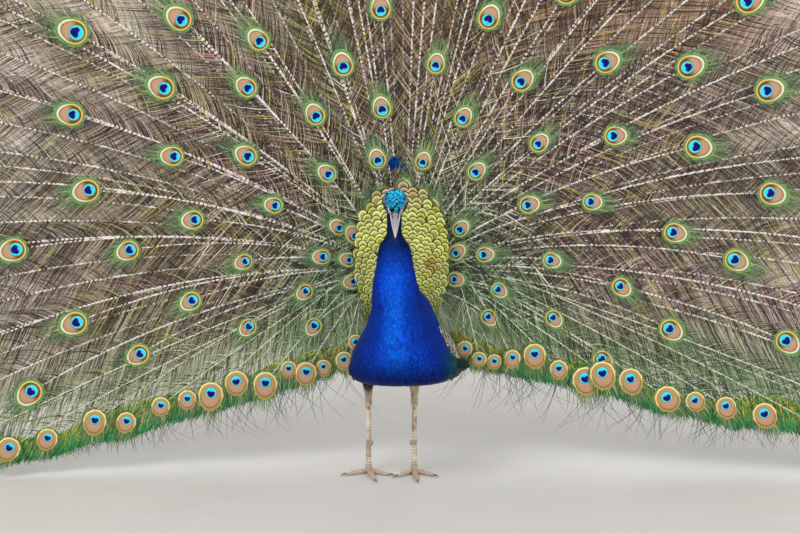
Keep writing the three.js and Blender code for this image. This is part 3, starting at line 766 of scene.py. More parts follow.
def skinPlace(points):  # an unwrap of the skin: the turn round its upright middle, and the way up it
    q = np.asarray(points) * 1000 + planCentre
    sideways = q[:, 0] - drift(q[:, 1], q[:, 2])
    turnShare = np.arctan2(sideways, -(q[:, 1] + 60 - 0.2 * q[:, 2])) / (2 * np.pi) + 0.5
    return beside(0.02 + 0.96 * turnShare, 0.02 + 0.96 * q[:, 2] / 720)


makePiece("bird_skin", {
    "points": skinPoints, "faces": [skinFaces], "maps": {"OFBake": skinPlace(skinPoints)},
    "colours": {"plume": markingsAndPaintedLight(skinPoints, skinNormals)}}, skinMaterial,
    ("head", "neck_upper", "neck_lower", "breast", "trunk", "rump", "thigh_left", "thigh_right"))
print("stage: bird skin")

# The body's coat: small feathers on the skin, thinned to one in each cell.
coat = {"neckCell": 0.0040, "breastCell": 0.0050, "trunkCell": 0.0085, "rumpCell": 0.0105,
        "thighCell": 0.0042}


def lieOfCoat(points):  # down the neck and breast, then back along the trunk; from the bill over the head
    q = np.asarray(points) * 1000 + planCentre
    back = 0.3 + 1.2 * smooth(-150, 40, q[:, 1])
    on = headShare(points)
    down = beside(0 * back, back, -np.ones(len(q)))
    return mix(down, -headForward, on)


def coatOver(name, chosen, cell, longer, wider, material, rows=3, columns=3, lift=0.16, rough=0.12):
    # One feather to a cell over the chosen skin, longer and wider by that many cells.
    spots = np.flatnonzero(chosen)
    spots = spots[rng.permutation(len(spots))]
    spots = spots[thin(skinPoints[spots], cell)]
    points, normals = skinPoints[spots], skinNormals[spots]
    lie = lieOfCoat(points) + rng.normal(0, rough, (len(spots), 3))
    length = cell * longer * rng.uniform(0.85, 1.2, len(spots))
    width = cell * wider * rng.uniform(0.85, 1.15, len(spots))
    plume = markingsAndPaintedLight(points, normals)
    part = vanes(points + normals * 0.0006, lie, normals, length, width, plume, skinPlace(points),
                 rows, columns, lift)
    makeInChunks(name, part, len(spots), material)
    print("stage:", name, len(spots), "feathers")


blueFeather = featherMaterial("cobalt_feather", 0.42, 0.5, 0.0, 0.75, 9.0, specular=0.12)
darkFeather = featherMaterial("trunk_feather", 0.6, 0.3, 0.0, 0.6, 9.0, specular=0.15)
downMaterial = featherMaterial("rump_down", 0.85, 0.0, 0.4, 0.5, 12.0)
zPoint, yPoint = skinPoints[:, 2], skinPoints[:, 1]
thighZone = (zPoint < 0.232)
headZone = onHead > 0.5
rearZone = (yPoint > 0.100) & ~thighZone
frontZone = (yPoint < -0.060) & ~thighZone & ~headZone
neckZone = frontZone & (zPoint > 0.42)
breastZone = frontZone & ~neckZone
trunkZone = ~(frontZone | rearZone | thighZone | headZone)
coatOver("neck_feathers", neckZone, coat["neckCell"], 2.3, 0.62, blueFeather)
coatOver("breast_feathers", breastZone, coat["breastCell"], 2.1, 0.66, blueFeather)
coatOver("trunk_feathers", trunkZone, coat["trunkCell"], 2.1, 0.7, darkFeather, 4)
coatOver("rump_down", rearZone, coat["rumpCell"], 2.6, 0.5, downMaterial, 4, 3, 0.4, 0.35)
coatOver("thigh_feathers", thighZone & (zPoint > 0.166), coat["thighCell"], 2.0, 0.55, downMaterial,
         3, 3, 0.10)

# The train.
fan = {"x": 0, "y": 135, "z": 392, "rim": 1330, "rimSide": 0.96, "low": -15.3, "roll": 1.8, "droop": 13,
       "sag": 9.5, "lean": 150, "wrap": 90, "hub": 570, "ringX": -15, "ringZ": 505, "ringOut": 95}


def fanLean(x, z):  # how far a point of the fan leans forward, from its distance and direction
    radius = np.hypot(x - fan["x"], z - fan["z"])
    level = ((x - fan["x"]) / np.maximum(radius, 1e-6)) ** 2
    return (fan["lean"] + fan["wrap"] * level) * (radius / fan["rim"]) ** 1.5


def rimLength(angle):  # the fan's radius, shorter to the sides by the cosine squared
    return fan["rim"] * (1 + (fan["rimSide"] - 1) * np.cos(np.radians(angle)) ** 2)


def fanSpot(radius, angle):  # x and z of a place in the fan, by its distance and its rolled direction
    aim = np.radians(angle + fan["roll"])
    return fan["x"] + radius * np.cos(aim), fan["z"] + radius * np.sin(aim)


def pathsTo(x, z, layer, root=None, rise=None):
    # Each feather's quadratic curve in the fan: from a ring behind the shield, by its bend, to (x, z).
    aim = np.degrees(np.arctan2(z - fan["z"], x - fan["x"]))
    angle = np.where(aim < -90, aim + 360, aim) - fan["roll"]
    level = np.cos(np.radians(angle))
    if root is None:
        turn = np.arctan2(z - fan["hub"], x - fan["x"])
        root = beside(np.cos(turn), np.sin(turn)) * fan["ringOut"] + [fan["ringX"], fan["ringZ"]]
    if rise is None:
        rise = fan["droop"] * level * (0.3 + 0.7 * level ** 2)
    tip = beside(x, z)
    heading = np.arctan2(z - root[:, 1], x - root[:, 0]) + np.radians(rise)
    half = np.linalg.norm(tip - root, axis=1) / 2
    bend = root + beside(half * np.cos(heading), half * np.sin(heading))
    return {"root": root, "bend": bend, "tip": tip, "layer": np.broadcast_to(layer, len(x)),
            "angle": angle, "size": half * 2}


def alongPath(paths, which, share):  # points and headings of the chosen feathers, at shares of their length
    s = np.clip(share, None, 1.0)[:, None]
    root, bend, tip = (paths[k][which] for k in ("root", "bend", "tip"))
    flat = (1 - s) ** 2 * root + 2 * s * (1 - s) * bend + s ** 2 * tip
    heading = unit(2 * (1 - s) * (bend - root) + 2 * s * (tip - bend))
    flat = flat + heading * (np.maximum(0, share - 1) * paths["size"][which])[:, None]
    y = fan["y"] - fanLean(flat[:, 0], flat[:, 1]) - paths["layer"][which] * smooth(0, 0.3, share)
    ahead = flat + heading * 2
    slope = -(fanLean(ahead[:, 0], ahead[:, 1]) - fanLean(flat[:, 0], flat[:, 1])) / 2
    points = beside(flat[:, 0], y, flat[:, 1])
    tangent = unit(beside(heading[:, 0], slope, heading[:, 1]))
    side = beside(heading[:, 1], 0 * y, -heading[:, 0])
    return points, tangent, side, np.cross(side, tangent)


def fanPlace(points):  # the fan laid flat on a sheet of 2.7 by 1.8 m: across and up
    return beside(0.5 + points[:, 0] / 2.7, 0.02 + points[:, 2] / 1.8)


# The two lower edges of the train, from the frame's own rule.
edgeRoot = {"across": 36, "height": 284}
edges = {}
for name, angle in (("left", fan["low"]), ("right", 180 - fan["low"])):
    most = rimLength(np.array([angle]))
    root = np.array([[edgeRoot["across"] if name == "left" else -edgeRoot["across"], edgeRoot["height"]]])
    lone = pathsTo(*fanSpot(most, angle), 0.0, root, -fan["sag"] * np.cos(np.radians(angle)))
    edges[name] = alongPath(lone, np.zeros(60, int), np.linspace(0.03, 1, 60))[0]


def edgeHeight(x):  # the height of the lower edge under a place across the fan
    ways = np.concatenate([edges["right"][::-1, 0], edges["left"][:, 0]])
    return np.interp(x, ways, np.concatenate([edges["right"][::-1, 2], edges["left"][:, 2]]))


# Eyes stand in staggered rings round the bird's back, wider across than up.
trainRows = {"middle": (-24.6, 431.8), "first": 197.5, "step": 131.8, "slower": -3.2, "wider": 0.173,
             "spacing": 22.46, "phase": 90.4, "stagger": 0.446, "twist": 1.06, "rows": 11,
             "jitter": 8.0, "clearOfEdge": 88, "clearOfRim": 62}
centres = []
for k in range(trainRows["rows"]):
    n = np.arange(-12, 13) + trainRows["stagger"] * (k % 2)
    angle = trainRows["phase"] + n * trainRows["spacing"] + trainRows["twist"] * k
    angle = np.radians(angle[(angle > -32) & (angle < 212)])
    radius = trainRows["first"] + trainRows["step"] * k + trainRows["slower"] * k * k
    radius = radius * (1 + trainRows["wider"] * np.cos(angle) ** 2)
    spot = beside(radius * np.cos(angle), radius * np.sin(angle)) + trainRows["middle"]
    centres.append(spot + rng.normal(0, trainRows["jitter"], spot.shape))
centres = np.concatenate(centres)
ways = centres - [fan["x"], fan["z"]]
angles = np.degrees(np.arctan2(ways[:, 1], ways[:, 0]))
angles = np.where(angles < -90, angles + 360, angles)
keep = ((centres[:, 1] > edgeHeight(centres[:, 0]) + trainRows["clearOfEdge"])
        & (np.hypot(ways[:, 0], ways[:, 1]) < rimLength(angles) - trainRows["clearOfRim"])
        & (angles > fan["low"]) & (angles < 180 - fan["low"] + 2 * fan["roll"]))
eyePaths = pathsTo(centres[keep, 0], centres[keep, 1], 4.0)

nearRing = {"x": -20, "z": 503, "across": 130, "up": 172, "from": -16, "to": 198, "count": 11, "apart": 34}
angle = np.radians(np.linspace(nearRing["from"], nearRing["to"], nearRing["count"]))
spots = beside(nearRing["x"] + nearRing["across"] * np.cos(angle),
               nearRing["z"] + nearRing["up"] * np.sin(angle))
spots = spots + rng.normal(0, 4, spots.shape)
apart = np.hypot(*np.moveaxis(spots[:, None] - centres[keep][None], -1, 0)).min(axis=1)
spots = spots[apart > nearRing["apart"]]
ringPaths = pathsTo(spots[:, 0], spots[:, 1], 10.0)

band = {"first": 132, "step": 35, "grow": 2.1, "above": 34, "count": 16, "rootX": 108, "rootZ": 490}


def hemLift(x):  # how far the hem rises above the edge: a broad hump on each side and small waves
    return 13 * bell(np.abs(x), 430, 190) + 5 * np.sin(x / 47 + 2 * np.sin(x / 110))


spots, bandRoots = [], []
for way in (-1, 1):
    n = np.arange(band["count"])
    x = way * (band["first"] + (band["step"] + band["grow"] * n) * n + rng.uniform(-15, 15, len(n)))
    spots.append(beside(x, edgeHeight(x) + hemLift(x) + band["above"] + rng.uniform(-16, 22, len(n))))
    bandRoots.append(beside(np.full(len(n), way * band["rootX"]) + rng.uniform(-12, 12, len(n)),
                            band["rootZ"] + rng.uniform(-40, 30, len(n))))
spots, bandRoots = np.concatenate(spots), np.concatenate(bandRoots)
bandPaths = pathsTo(spots[:, 0], spots[:, 1], 2.0 + 7 * (np.arange(len(spots)) % 2), bandRoots,
                    4 * np.sign(spots[:, 0]))

rimFeathers = {"count": 56, "inside": 20}
angle = np.linspace(fan["low"] + 4, 176 - fan["low"], rimFeathers["count"])
angle = angle + rng.normal(0, 0.7, rimFeathers["count"])
most = rimLength(angle) - rimFeathers["inside"] - rng.uniform(0, 25, len(angle))
rimPaths = pathsTo(*fanSpot(most, angle), 0.0)
groups = [eyePaths, bandPaths, ringPaths, rimPaths]
feathers = {k: np.concatenate([g[k] for g in groups]) for k in eyePaths}
inFan, onHem, roundShield, atRim = range(4)
kind = np.repeat([inFan, onHem, roundShield, atRim], [len(g["size"]) for g in groups])
total = len(kind)
print("stage: train of", total, "feathers")


def warmTop(x, z):  # the upper middle of the fan is a little redder than its sides
    return smooth(850, 1150, z) * smooth(-260, 0, x) * smooth(950, 650, x)


def trainColour(points, pick, hue):
    # Dark, middling or light by pick; browns outside, greens towards the body and the lower edges; by its hue
    # a feather's browns turn purple or olive.
    x, z = points[:, 0] * 1000, points[:, 2] * 1000
    near = smooth(430, 150, np.hypot(x, z - 430))
    low = smooth(320, 110, z - edgeHeight(x)) * (0.6 + 0.3 * smooth(-200, 500, x))
    green = np.clip(0.8 * near + low, 0, 1)
    purple, olive = smooth(0.5, 1.2, hue), smooth(-0.4, -1.1, hue)
    earthy = mix(mix(srgb(48, 24, 12), srgb(68, 24, 54), purple), srgb(66, 60, 6), olive)
    warm = mix(mix(srgb(208, 184, 148), srgb(206, 148, 156), purple), srgb(190, 186, 80), olive)
    dark = mix(earthy, srgb(22, 40, 18), green)
    middle = mix(warm, srgb(120, 172, 106), green)
    light = mix(srgb(252, 246, 230), srgb(218, 236, 188), green)
    colour = mix(mix(dark, middle, smooth(0.54, 0.57, pick)), light, smooth(0.71, 0.77, pick))
    return mix(colour, colour * [0.98, 0.80, 0.66], warmTop(x, z))


# Shafts: slender four-sided rods before the barbs, pale, crossed by the barbs' dark feet.
shaftShape = {"steps": 18, "rootRadius": 1.2, "middleRadius": 3.0, "tipRadius": 2.2,
              "ahead": 9.0, "behind": -18.0}
which = np.repeat(np.arange(total), shaftShape["steps"])
steps = np.tile(np.linspace(0, 1, shaftShape["steps"]), total)
points, tangent, side, face = alongPath(feathers, which, steps)
radius = np.interp(steps, [0, 0.5, 1], [shaftShape[k] for k in ("rootRadius", "middleRadius", "tipRadius")])
radius = radius * np.where(kind[which] == onHem, 0.6, 1.0) * np.where((steps == 0) | (steps == 1), 0.03, 1.0)
rods = np.stack([side, -face, -side, face], 1) * radius[:, None, None]

quads = repeatFaces(gridFaces(4, shaftShape["steps"], True), total, 4 * shaftShape["steps"])
along = feathers["size"][which] * steps * 0.001
shaftUV = beside(np.tile(np.arange(4) / 4, len(which)), np.repeat(along, 4))
shaftMaterial, tree, shader = newMaterial("shaft", 0.42, coat=0.1)
u, v = readMap(tree)
beads = calc(tree, "SINE", times(tree, v, 6.283 / 0.0105))
broken = times(tree, minus(tree, noise(tree, 34.0, 3.0), 0.5), 5.0)
dark = times(tree, step(tree, plus(tree, beads, broken), 0.5, 1.0), read(tree, "barred", "Fac"))
pale = blendColour(tree, read(tree, "green", "Fac"), srgb(254, 248, 240), srgb(244, 244, 222))
pale = blendColour(tree, times(tree, read(tree, "near", "Fac"), 0.2), pale, srgb(150, 168, 128))
feet = blendColour(tree, read(tree, "near", "Fac"), srgb(112, 84, 70), srgb(96, 108, 76))
paint(tree, shader, blendColour(tree, dark, pale, feet))
barred = smooth(120, 320, points[:, 2] - edgeHeight(points[:, 0])) * (kind[which] != onHem)
near = smooth(380, 160, np.hypot(points[:, 0], points[:, 2] - 480)) * np.where(kind[which] == onHem, 0.2, 1.0)
trainNodes = [f"train_{i:02d}" for i in range(1, 13)]
for title, nodes in (("ahead", trainNodes), ("behind", ())):
    rodPoints = placed((points + face * shaftShape[title])[:, None] + rods * (1 if nodes else 0.8))
    place = np.repeat(fanPlace(placed(points)), 4, 0) + 0.001 * (shaftUV % 1.0)
    values = {"barred": np.repeat(barred, 4), "near": np.repeat(near, 4),
              "green": np.repeat(kind[which] == onHem, 4)}
    part = {"points": rodPoints.reshape(-1, 3), "faces": [quads], "values": values,
            "maps": {"Vane": shaftUV, "OFBake": place}}
    makePiece(f"shafts_{title}", part, shaftMaterial, nodes)

# Barbs: loose strips down both sides of each shaft in a herring-bone, curving forward, sagging where level.
barbShape = {"spacing": 3.35, "width": 1.35, "longest": 84, "start": 0.03, "bend": 0.40, "sag": 0.05,
             "levelSag": 0.24, "infront": 0.29, "frontWidth": 2.0}
perFeather = np.maximum(4, feathers["size"] * (1 - barbShape["start"]) / barbShape["spacing"]).astype(int)
perFeather = (perFeather * np.where(kind == onHem, 0.75, 1.0)).astype(int)
which = np.repeat(np.arange(total), perFeather * 2)
n = len(which)
order = np.arange(n) - np.repeat(np.cumsum(perFeather * 2) - perFeather * 2, perFeather * 2)
hand = np.where(order % 2 == 0, 1.0, -1.0)
share = (1 - barbShape["start"]) * (order // 2 + rng.uniform(0.2, 0.8, n)) / perFeather[which]
share = barbShape["start"] + share
points, tangent, side, face = alongPath(feathers, which, share)
own = rng.normal(0, 1, (total, 4))[which]
level = np.abs(np.cos(np.radians(feathers["angle"][which])))
spread = np.radians(52 + 10 * level ** 2 + 4 * own[:, 0] - 8 * share + rng.normal(0, 2.5, n))
twist = np.radians(rng.normal(0, 22, n))
heading = unit(tangent * np.cos(spread)[:, None] + side * (hand * np.sin(spread))[:, None]
               + face * rng.normal(0, 0.05, n)[:, None])
sideways = unit(np.cross(heading, face))
ribbon = sideways * np.cos(twist)[:, None] + face * np.sin(twist)[:, None]
sag = barbShape["sag"] + barbShape["levelSag"] * level ** 2 + rng.normal(0, 0.04, n)
bendBy = tangent * (barbShape["bend"] + 0.06 * own[:, 1] + rng.normal(0, 0.05, n))[:, None]
bendBy = bendBy - np.array([0, 0, 1.0]) * sag[:, None]
length = barbShape["longest"] * (0.45 + 0.55 * smooth(0.05, 0.40, share))
length = length * (1 - 0.45 * smooth(0.75, 1.0, share))
length = length * np.minimum(1, feathers["size"][which] / 420) ** 0.5
length = length * rng.uniform(0.82, 1.12, n) * np.where(kind[which] == onHem, 0.7, 1.0)
depth = np.where(rng.random(n) < barbShape["infront"], 11.0, rng.uniform(-3, 4, n))
width = np.where(depth > 9, barbShape["frontWidth"], barbShape["width"]) * rng.uniform(0.7, 1.15, n)
width = width * np.where(kind[which] == onHem, 0.8, 1.0)
placedRoots = placed(points + face * depth[:, None])
pick = rng.random(n)
pick = np.where(depth > 9, 0.62 * pick, 0.3 + 0.7 * pick) + 0.04 * own[:, 2]
inside = np.hypot(points[:, 0] - fan["x"], points[:, 2] - fan["z"])
sheer = smooth(260, 110, points[:, 2] - edgeHeight(points[:, 0])) * smooth(200, -300, points[:, 0])
farLeft = smooth(-100, -500, points[:, 0]) * smooth(750, 1050, points[:, 2])
pick = pick + 0.14 * smooth(1100, 350, inside) + 0.06 * smooth(420, 200, inside) + 0.12 * sheer
pick = np.clip(pick + 0.09 * farLeft, 0, 1)
plume = trainColour(placedRoots, pick, 0.8 * own[:, 3] + rng.normal(0, 0.8, n))
glint = mix(plume, srgb(112, 98, 60), 0.3 * rng.random(n))
part = barbs(placedRoots, heading, bendBy, ribbon, length * 0.001, width * 0.001, plume, glint,
             fanPlace(placedRoots), 3)
trainMaterial = barbMaterial("train_barb", 0.5, 0.35, 0.1)
makeInChunks("train_barbs", part, n, trainMaterial)
print("stage: train barbs", n)

# Behind them a layer of broad pale barbs, which closes the fan except near its lower edges, and
# a dull layer at the rear.
backing = {"count": 52000, "length": 104, "width": 3.6, "behind": 4, "nearShare": 0.1, "patches": 0.5,
           "first": (246, 226, 208), "second": (255, 252, 244), "green": (198, 232, 172),
           "deep": (52, 98, 46)}
rear = {"count": 26000, "length": 92, "width": 3.8, "behind": 12, "nearShare": 0.02, "patches": 0.0,
        "first": (176, 156, 132), "second": (118, 102, 86), "green": (120, 116, 92), "deep": (84, 80, 64)}
for title, how in (("backing", backing), ("rear", rear)):
    angle = rng.uniform(-48, 228, how["count"])
    radius = rimLength(angle) * np.sqrt(rng.uniform(0.002, 0.93, how["count"]))
    radius = np.where(rng.random(len(radius)) < how["nearShare"], 40 + 200 * (radius % 1), radius)
    x, z = fanSpot(radius, angle)
    lowZone = smooth(210, 100, z - edgeHeight(x)) * smooth(190, 420, radius)
    keep = rng.random(len(x)) > (0.86 - 0.24 * smooth(-200, 500, x)) * lowZone
    keep = keep & (z > edgeHeight(x) + 30 - 20 * smooth(300, 150, radius))
    x, z, radius, angle = x[keep], z[keep], radius[keep], angle[keep]
    n = len(x)
    points, tangent, side, face = alongPath(pathsTo(x, z, -how["behind"]), np.arange(n), np.ones(n))
    spread = np.radians(rng.uniform(15, 60, n) * rng.choice([-1, 1], n))
    heading = unit(tangent * np.cos(spread)[:, None] + side * np.sin(spread)[:, None])
    sideways = unit(np.cross(heading, face))
    room = np.clip(np.minimum(rimLength(angle) - radius, 1.1 * (z - edgeHeight(x)) - 8) / 110, 0.1, 1)
    placedRoots = placed(points + face * rng.uniform(-3, 3, n)[:, None])
    leafy = mix(srgb(*how["deep"]), srgb(*how["green"]), rng.random(n))
    plume = mix(srgb(*how["first"]), srgb(*how["second"]), rng.random(n))
    lowGreen = smooth(300, 140, z - edgeHeight(x)) * (0.5 + 0.45 * smooth(-200, 500, x))
    patchy = np.sin(x / 150 + 1.5 * np.sin(z / 170)) * np.sin(z / 130 + x / 310) * how["patches"]
    plume = mix(plume, plume * [0.98, 0.76, 0.62], warmTop(x, z) * (how["patches"] > 0))
    plume = mix(plume, srgb(220, 168, 152), smooth(0.1, 0.9, patchy))
    plume = mix(plume, srgb(204, 198, 130), smooth(-0.1, -0.9, patchy))
    plume = mix(plume, leafy, np.maximum(0.8 * smooth(400, 150, np.hypot(x, z - 430)), lowGreen))
    part = barbs(placedRoots, heading, tangent * rng.normal(0.15, 0.1, n)[:, None], sideways,
                 how["length"] * room * 0.001 * rng.uniform(0.7, 1.1, n),
                 how["width"] * 0.001 * rng.uniform(0.7, 1.3, n), plume, plume, fanPlace(placedRoots), 2)
    makeInChunks(f"train_{title}", part, n, trainMaterial)
    print("stage: train", title, n)

# Eyes: each an egg-shaped plate with its pattern in its own two measures, X across and Y along.
eyeShape = {"least": 18.5, "most": 28.0, "grow": (170, 1100), "lengthen": 0.97, "ahead": 20.0,
            "lowSize": 28.5, "hang": 16, "lowHang": 40}
plates = np.flatnonzero(kind != atRim)
away = np.hypot(feathers["tip"][plates, 0] - fan["x"], feathers["tip"][plates, 1] - fan["z"])
half = eyeShape["least"] + (eyeShape["most"] - eyeShape["least"]) * smooth(*eyeShape["grow"], away)
onEdge = kind[plates] == onHem
half = np.where(onEdge, eyeShape["lowSize"] - 8 * smooth(400, 160, away), half)
half = half * rng.uniform(0.93, 1.07, len(plates))
half = half * np.where(onEdge, rng.uniform(0.72, 1.12, len(plates)), 1)
stretch = np.where(onEdge, rng.uniform(0.74, 0.96, len(plates)), eyeShape["lengthen"])
disc = np.where(kind[plates] == roundShield, 0.84, rng.uniform(0.9, 1.04, len(plates)))
disc = np.where(onEdge, 0.76, disc)
points, tangent, side, face = alongPath(feathers, plates, np.ones(len(plates)))
hang = np.where(onEdge, eyeShape["lowHang"], eyeShape["hang"])
turned = hang * np.cos(np.radians(feathers["angle"][plates])) + rng.normal(0, 6, len(plates))
turned = np.radians(turned)[:, None]
tangent, side = (tangent * np.cos(turned) + side * np.sin(turned),
                 side * np.cos(turned) - tangent * np.sin(turned))
spokes = 20
rings = np.array([0.30, 0.66, 0.95, 1.17])
turn = np.linspace(0, 2 * np.pi, spokes, endpoint=False)
flatX = np.concatenate([[0], (rings[:, None] * np.sin(turn)).ravel()])
flatY = rings[:, None] * np.cos(turn) * np.where(np.cos(turn) > 0, 1.5, 1.0)
flatY = np.concatenate([[0.1], flatY.ravel()])
ragged = np.concatenate([np.ones(1 + 3 * spokes), 1 + 0.10 * (np.arange(spokes) % 2) - 0.05])
flatX, flatY = flatX * ragged, flatY * ragged
each = len(flatX)
atFringe = np.arange(each) > 3 * spokes  # the outermost ring
i = np.arange(spokes)
centreFaces = beside(np.zeros(spokes, int), 1 + (i + 1) % spokes, 1 + i)
ringFaces = gridFaces(spokes, len(rings), True) + 1


def eyePlates(points, tangent, side, face, half, stretch, turned=1):
    # A shallow dish: half size times X across, times Y along, hollowed by 0.08 of their squares.
    n = len(points)
    slim = np.where(onEdge[:, None] & atFringe, 0.86, 1.0)
    up = flatY * np.where(flatY > 0, stretch[:, None], 1.0) * slim
    dish = -0.08 * (flatX ** 2 + flatY ** 2)[None] * half[:, None]
    plate = (points[:, None] + side[:, None] * (flatX * slim * half[:, None])[..., None]
             + tangent[:, None] * (up * half[:, None])[..., None] + face[:, None] * dish[..., None])
    uv = np.broadcast_to(beside(flatX, flatY), (n, each, 2))
    place = fanPlace(placed(points))[:, None] + uv * 0.009
    return {"points": placed(plate).reshape(-1, 3),
            "faces": [repeatFaces(f[:, ::turned], n, each) for f in (centreFaces, ringFaces)],
            "maps": {"Eye": uv.reshape(-1, 2), "OFBake": place.reshape(-1, 2)},
            "values": {"tone": np.repeat(rng.random(n), each), "disc": np.repeat(disc, each)}}


eyeMaterial, tree, shader = newMaterial("train_eye", 0.45, 0.1, specular=0.15)
x, y = readMap(tree, "Eye")


def roundAt(x, y, offX, offY, size, wide=1.0):  # the distance from a point over a size, squashed across
    a = calc(tree, "DIVIDE", minus(tree, x, offX), wide)
    b = minus(tree, y, offY)
    ab = plus(tree, times(tree, a, a), times(tree, b, b))
    return calc(tree, "DIVIDE", calc(tree, "SQRT", ab), size)


longer = scaled(tree, calc(tree, "GREATER_THAN", y, 0.0), 0.46, 1.0)
egg = roundAt(x, calc(tree, "DIVIDE", y, longer), 0.0, 0.0, 1.0)
fuzz = minus(tree, noise(tree, 900.0, 1.0), 0.5)
egg = plus(tree, egg, times(tree, fuzz, 0.04))
tipward = step(tree, y, -0.1, 0.5)
inner = ramp(tree, egg, [(0.0, srgb(206, 166, 136)), (0.70, srgb(196, 154, 122)), (0.78, srgb(150, 118, 70)),
                         (0.83, srgb(104, 88, 40)), (0.88, srgb(234, 208, 120)), (0.97, srgb(238, 214, 132))])
outer = ramp(tree, egg, [(0.0, srgb(120, 74, 28)), (0.66, srgb(110, 64, 22)),
                         (0.78, srgb(132, 84, 30)), (0.83, srgb(176, 122, 50)),
                         (0.87, srgb(240, 206, 116)), (0.97, srgb(236, 206, 112))])
size = read(tree, "disc", "Fac")
low = step(tree, size, 0.86, 0.78)
rimmed = blendColour(tree, step(tree, egg, 0.82, 0.87), srgb(194, 150, 102), srgb(248, 232, 164))
outer = blendColour(tree, low, outer, rimmed)
colour = blendColour(tree, tipward, outer, inner)
ringed = times(tree, step(tree, size, 0.88, 0.85), step(tree, size, 0.78, 0.82))
pale = step(tree, scaled(tree, ringed, 1.2, y), 0.1, 0.8)
paleTip = times(tree, pale, step(tree, egg, 0.79, 0.84))
crescent = blendColour(tree, low, srgb(232, 234, 196), srgb(186, 160, 92))
colour = blendColour(tree, times(tree, paleTip, 0.9), colour, crescent)
edge = ramp(tree, minus(tree, egg, 0.9), [
    (0.0, srgb(100, 118, 58)), (0.08, srgb(62, 104, 74)), (0.13, srgb(126, 166, 104)),
    (0.18, srgb(76, 126, 78)), (0.23, srgb(164, 188, 108)), (0.28, srgb(92, 138, 92)),
    (0.36, srgb(138, 162, 98))])
edge = blendColour(tree, times(tree, low, 0.6), edge, srgb(178, 186, 76))
colour = blendColour(tree, step(tree, egg, 0.955, 0.985), colour, edge)
dx = calc(tree, "DIVIDE", x, size)
dy = minus(tree, calc(tree, "DIVIDE", plus(tree, y, 0.13), size), 0.13)
ring = roundAt(dx, dy, 0.0, -0.13, 0.595)
blue = ramp(tree, ring, [(0.0, srgb(44, 190, 236)), (0.6, srgb(66, 222, 248)), (0.86, srgb(96, 236, 242)),
                         (0.96, srgb(60, 170, 140)), (1.0, srgb(120, 140, 70))])
colour = blendColour(tree, step(tree, ring, 1.07, 1.0), colour, blue)
wide = calc(tree, "ABSOLUTE", dx)
lobe = roundAt(wide, dy, 0.200, -0.10, 0.225)
drop = roundAt(dx, dy, 0.0, 0.05, 0.31, 1.08)
heart = calc(tree, "MINIMUM", lobe, drop)
indigo = ramp(tree, heart, [(0.0, srgb(10, 10, 84)), (0.8, srgb(12, 18, 124)), (1.0, srgb(20, 64, 190))])
colour = blendColour(tree, step(tree, heart, 1.06, 0.94), colour, indigo)
grain = noise(tree, 700.0, 2.0)
colour = shaded(tree, colour, scaled(tree, grain, 0.3, 0.88))
paint(tree, shader, colour)
bump(tree, shader, grain, 0.3, 0.0005)
ahead = eyeShape["ahead"] + 5 * onEdge + rng.uniform(-1, 2, len(plates))
front = points + face * ahead[:, None]
makePiece("train_eyes", eyePlates(front, tangent, side, face, half, stretch), eyeMaterial)
dullMaterial, tree, shader = newMaterial("eye_back", 0.7, sheen=0.1)
x, y = readMap(tree, "Eye")
egg = roundAt(x, y, 0.0, 0.0, 1.0)
grain = noise(tree, 500.0, 2.0)
dull = ramp(tree, egg, [(0.0, srgb(108, 94, 78)), (0.7, srgb(130, 112, 90)), (0.95, srgb(112, 110, 80))])
dull = shaded(tree, dull, scaled(tree, grain, 0.5, 0.75))
paint(tree, shader, dull)
makePiece("train_eye_backs", eyePlates(points - face * 20, tangent, side, face, half * 0.86, stretch, -1),
          dullMaterial)

# Fringe: short green barbs that stand out all round each eye, longest at its tip.
fringe = {"each": 130, "length": 30, "width": 1.6}
own = np.repeat(np.arange(len(plates)), fringe["each"])
n = len(own)
turn = np.tile(np.linspace(0, 2 * np.pi, fringe["each"], endpoint=False), len(plates))
turn = turn + rng.normal(0, 0.05, n)
endward = np.cos(turn)
rx = np.sin(turn) * half[own] * 0.97
ry = endward * half[own] * np.where(endward > 0, 1.5 * stretch[own], 1.0) * 0.97
start = (front[own] + side[own] * rx[:, None] + tangent[own] * ry[:, None]
         - face[own] * (0.12 * half[own] + rng.uniform(2, 5, n))[:, None])
# Each runs round the eye towards its tip, and a little outwards.
way = np.sign(np.sin(turn)) * (0.5 - 0.5 * endward)
outward = unit(side[own] * (0.62 * np.sin(turn) - 0.9 * way * endward)[:, None]
               + tangent[own] * (0.62 * endward + 0.9 * np.abs(np.sin(turn)) + 0.3)[:, None])
length = fringe["length"] * (0.8 + 0.6 * smooth(0.4, 1, endward)) * rng.uniform(0.7, 1.2, n) * half[own] / 27
length = length * np.where(kind[plates][own] == inFan, 1.0, 0.5)
tone = rng.random(n)
plume = mix(mix(srgb(54, 100, 66), srgb(126, 164, 92), tone), srgb(212, 214, 138), smooth(0.7, 1, tone))
ends = mix(plume, srgb(110, 138, 112), 0.6 * np.ones(n))
placedRoots = placed(start)
part = barbs(placedRoots, outward, tangent[own] * 0.25, unit(np.cross(outward, face[own])), length * 0.001,
             fringe["width"] * 0.001 * rng.uniform(0.7, 1.2, n), plume, ends, fanPlace(placedRoots), 2)
makeInChunks("train_fringe", part, n, trainMaterial)
print("stage: train eyes", len(plates))

# The band along both lower edges: dense green barbs that point down, and thin dark ones that hang below.
edgeBand = {"each": 12500, "length": 23, "width": 2.4, "deep": 60, "hang": 150, "hangCount": 300}


def alongEdge(name, count, first, last):  # random places along one lower edge, in order
    line = edges[name]
    s = np.sort(rng.uniform(first, last, count)) * (len(line) - 1)
    return beside(*(np.interp(s, np.arange(len(line)), line[:, k]) for k in range(3)))


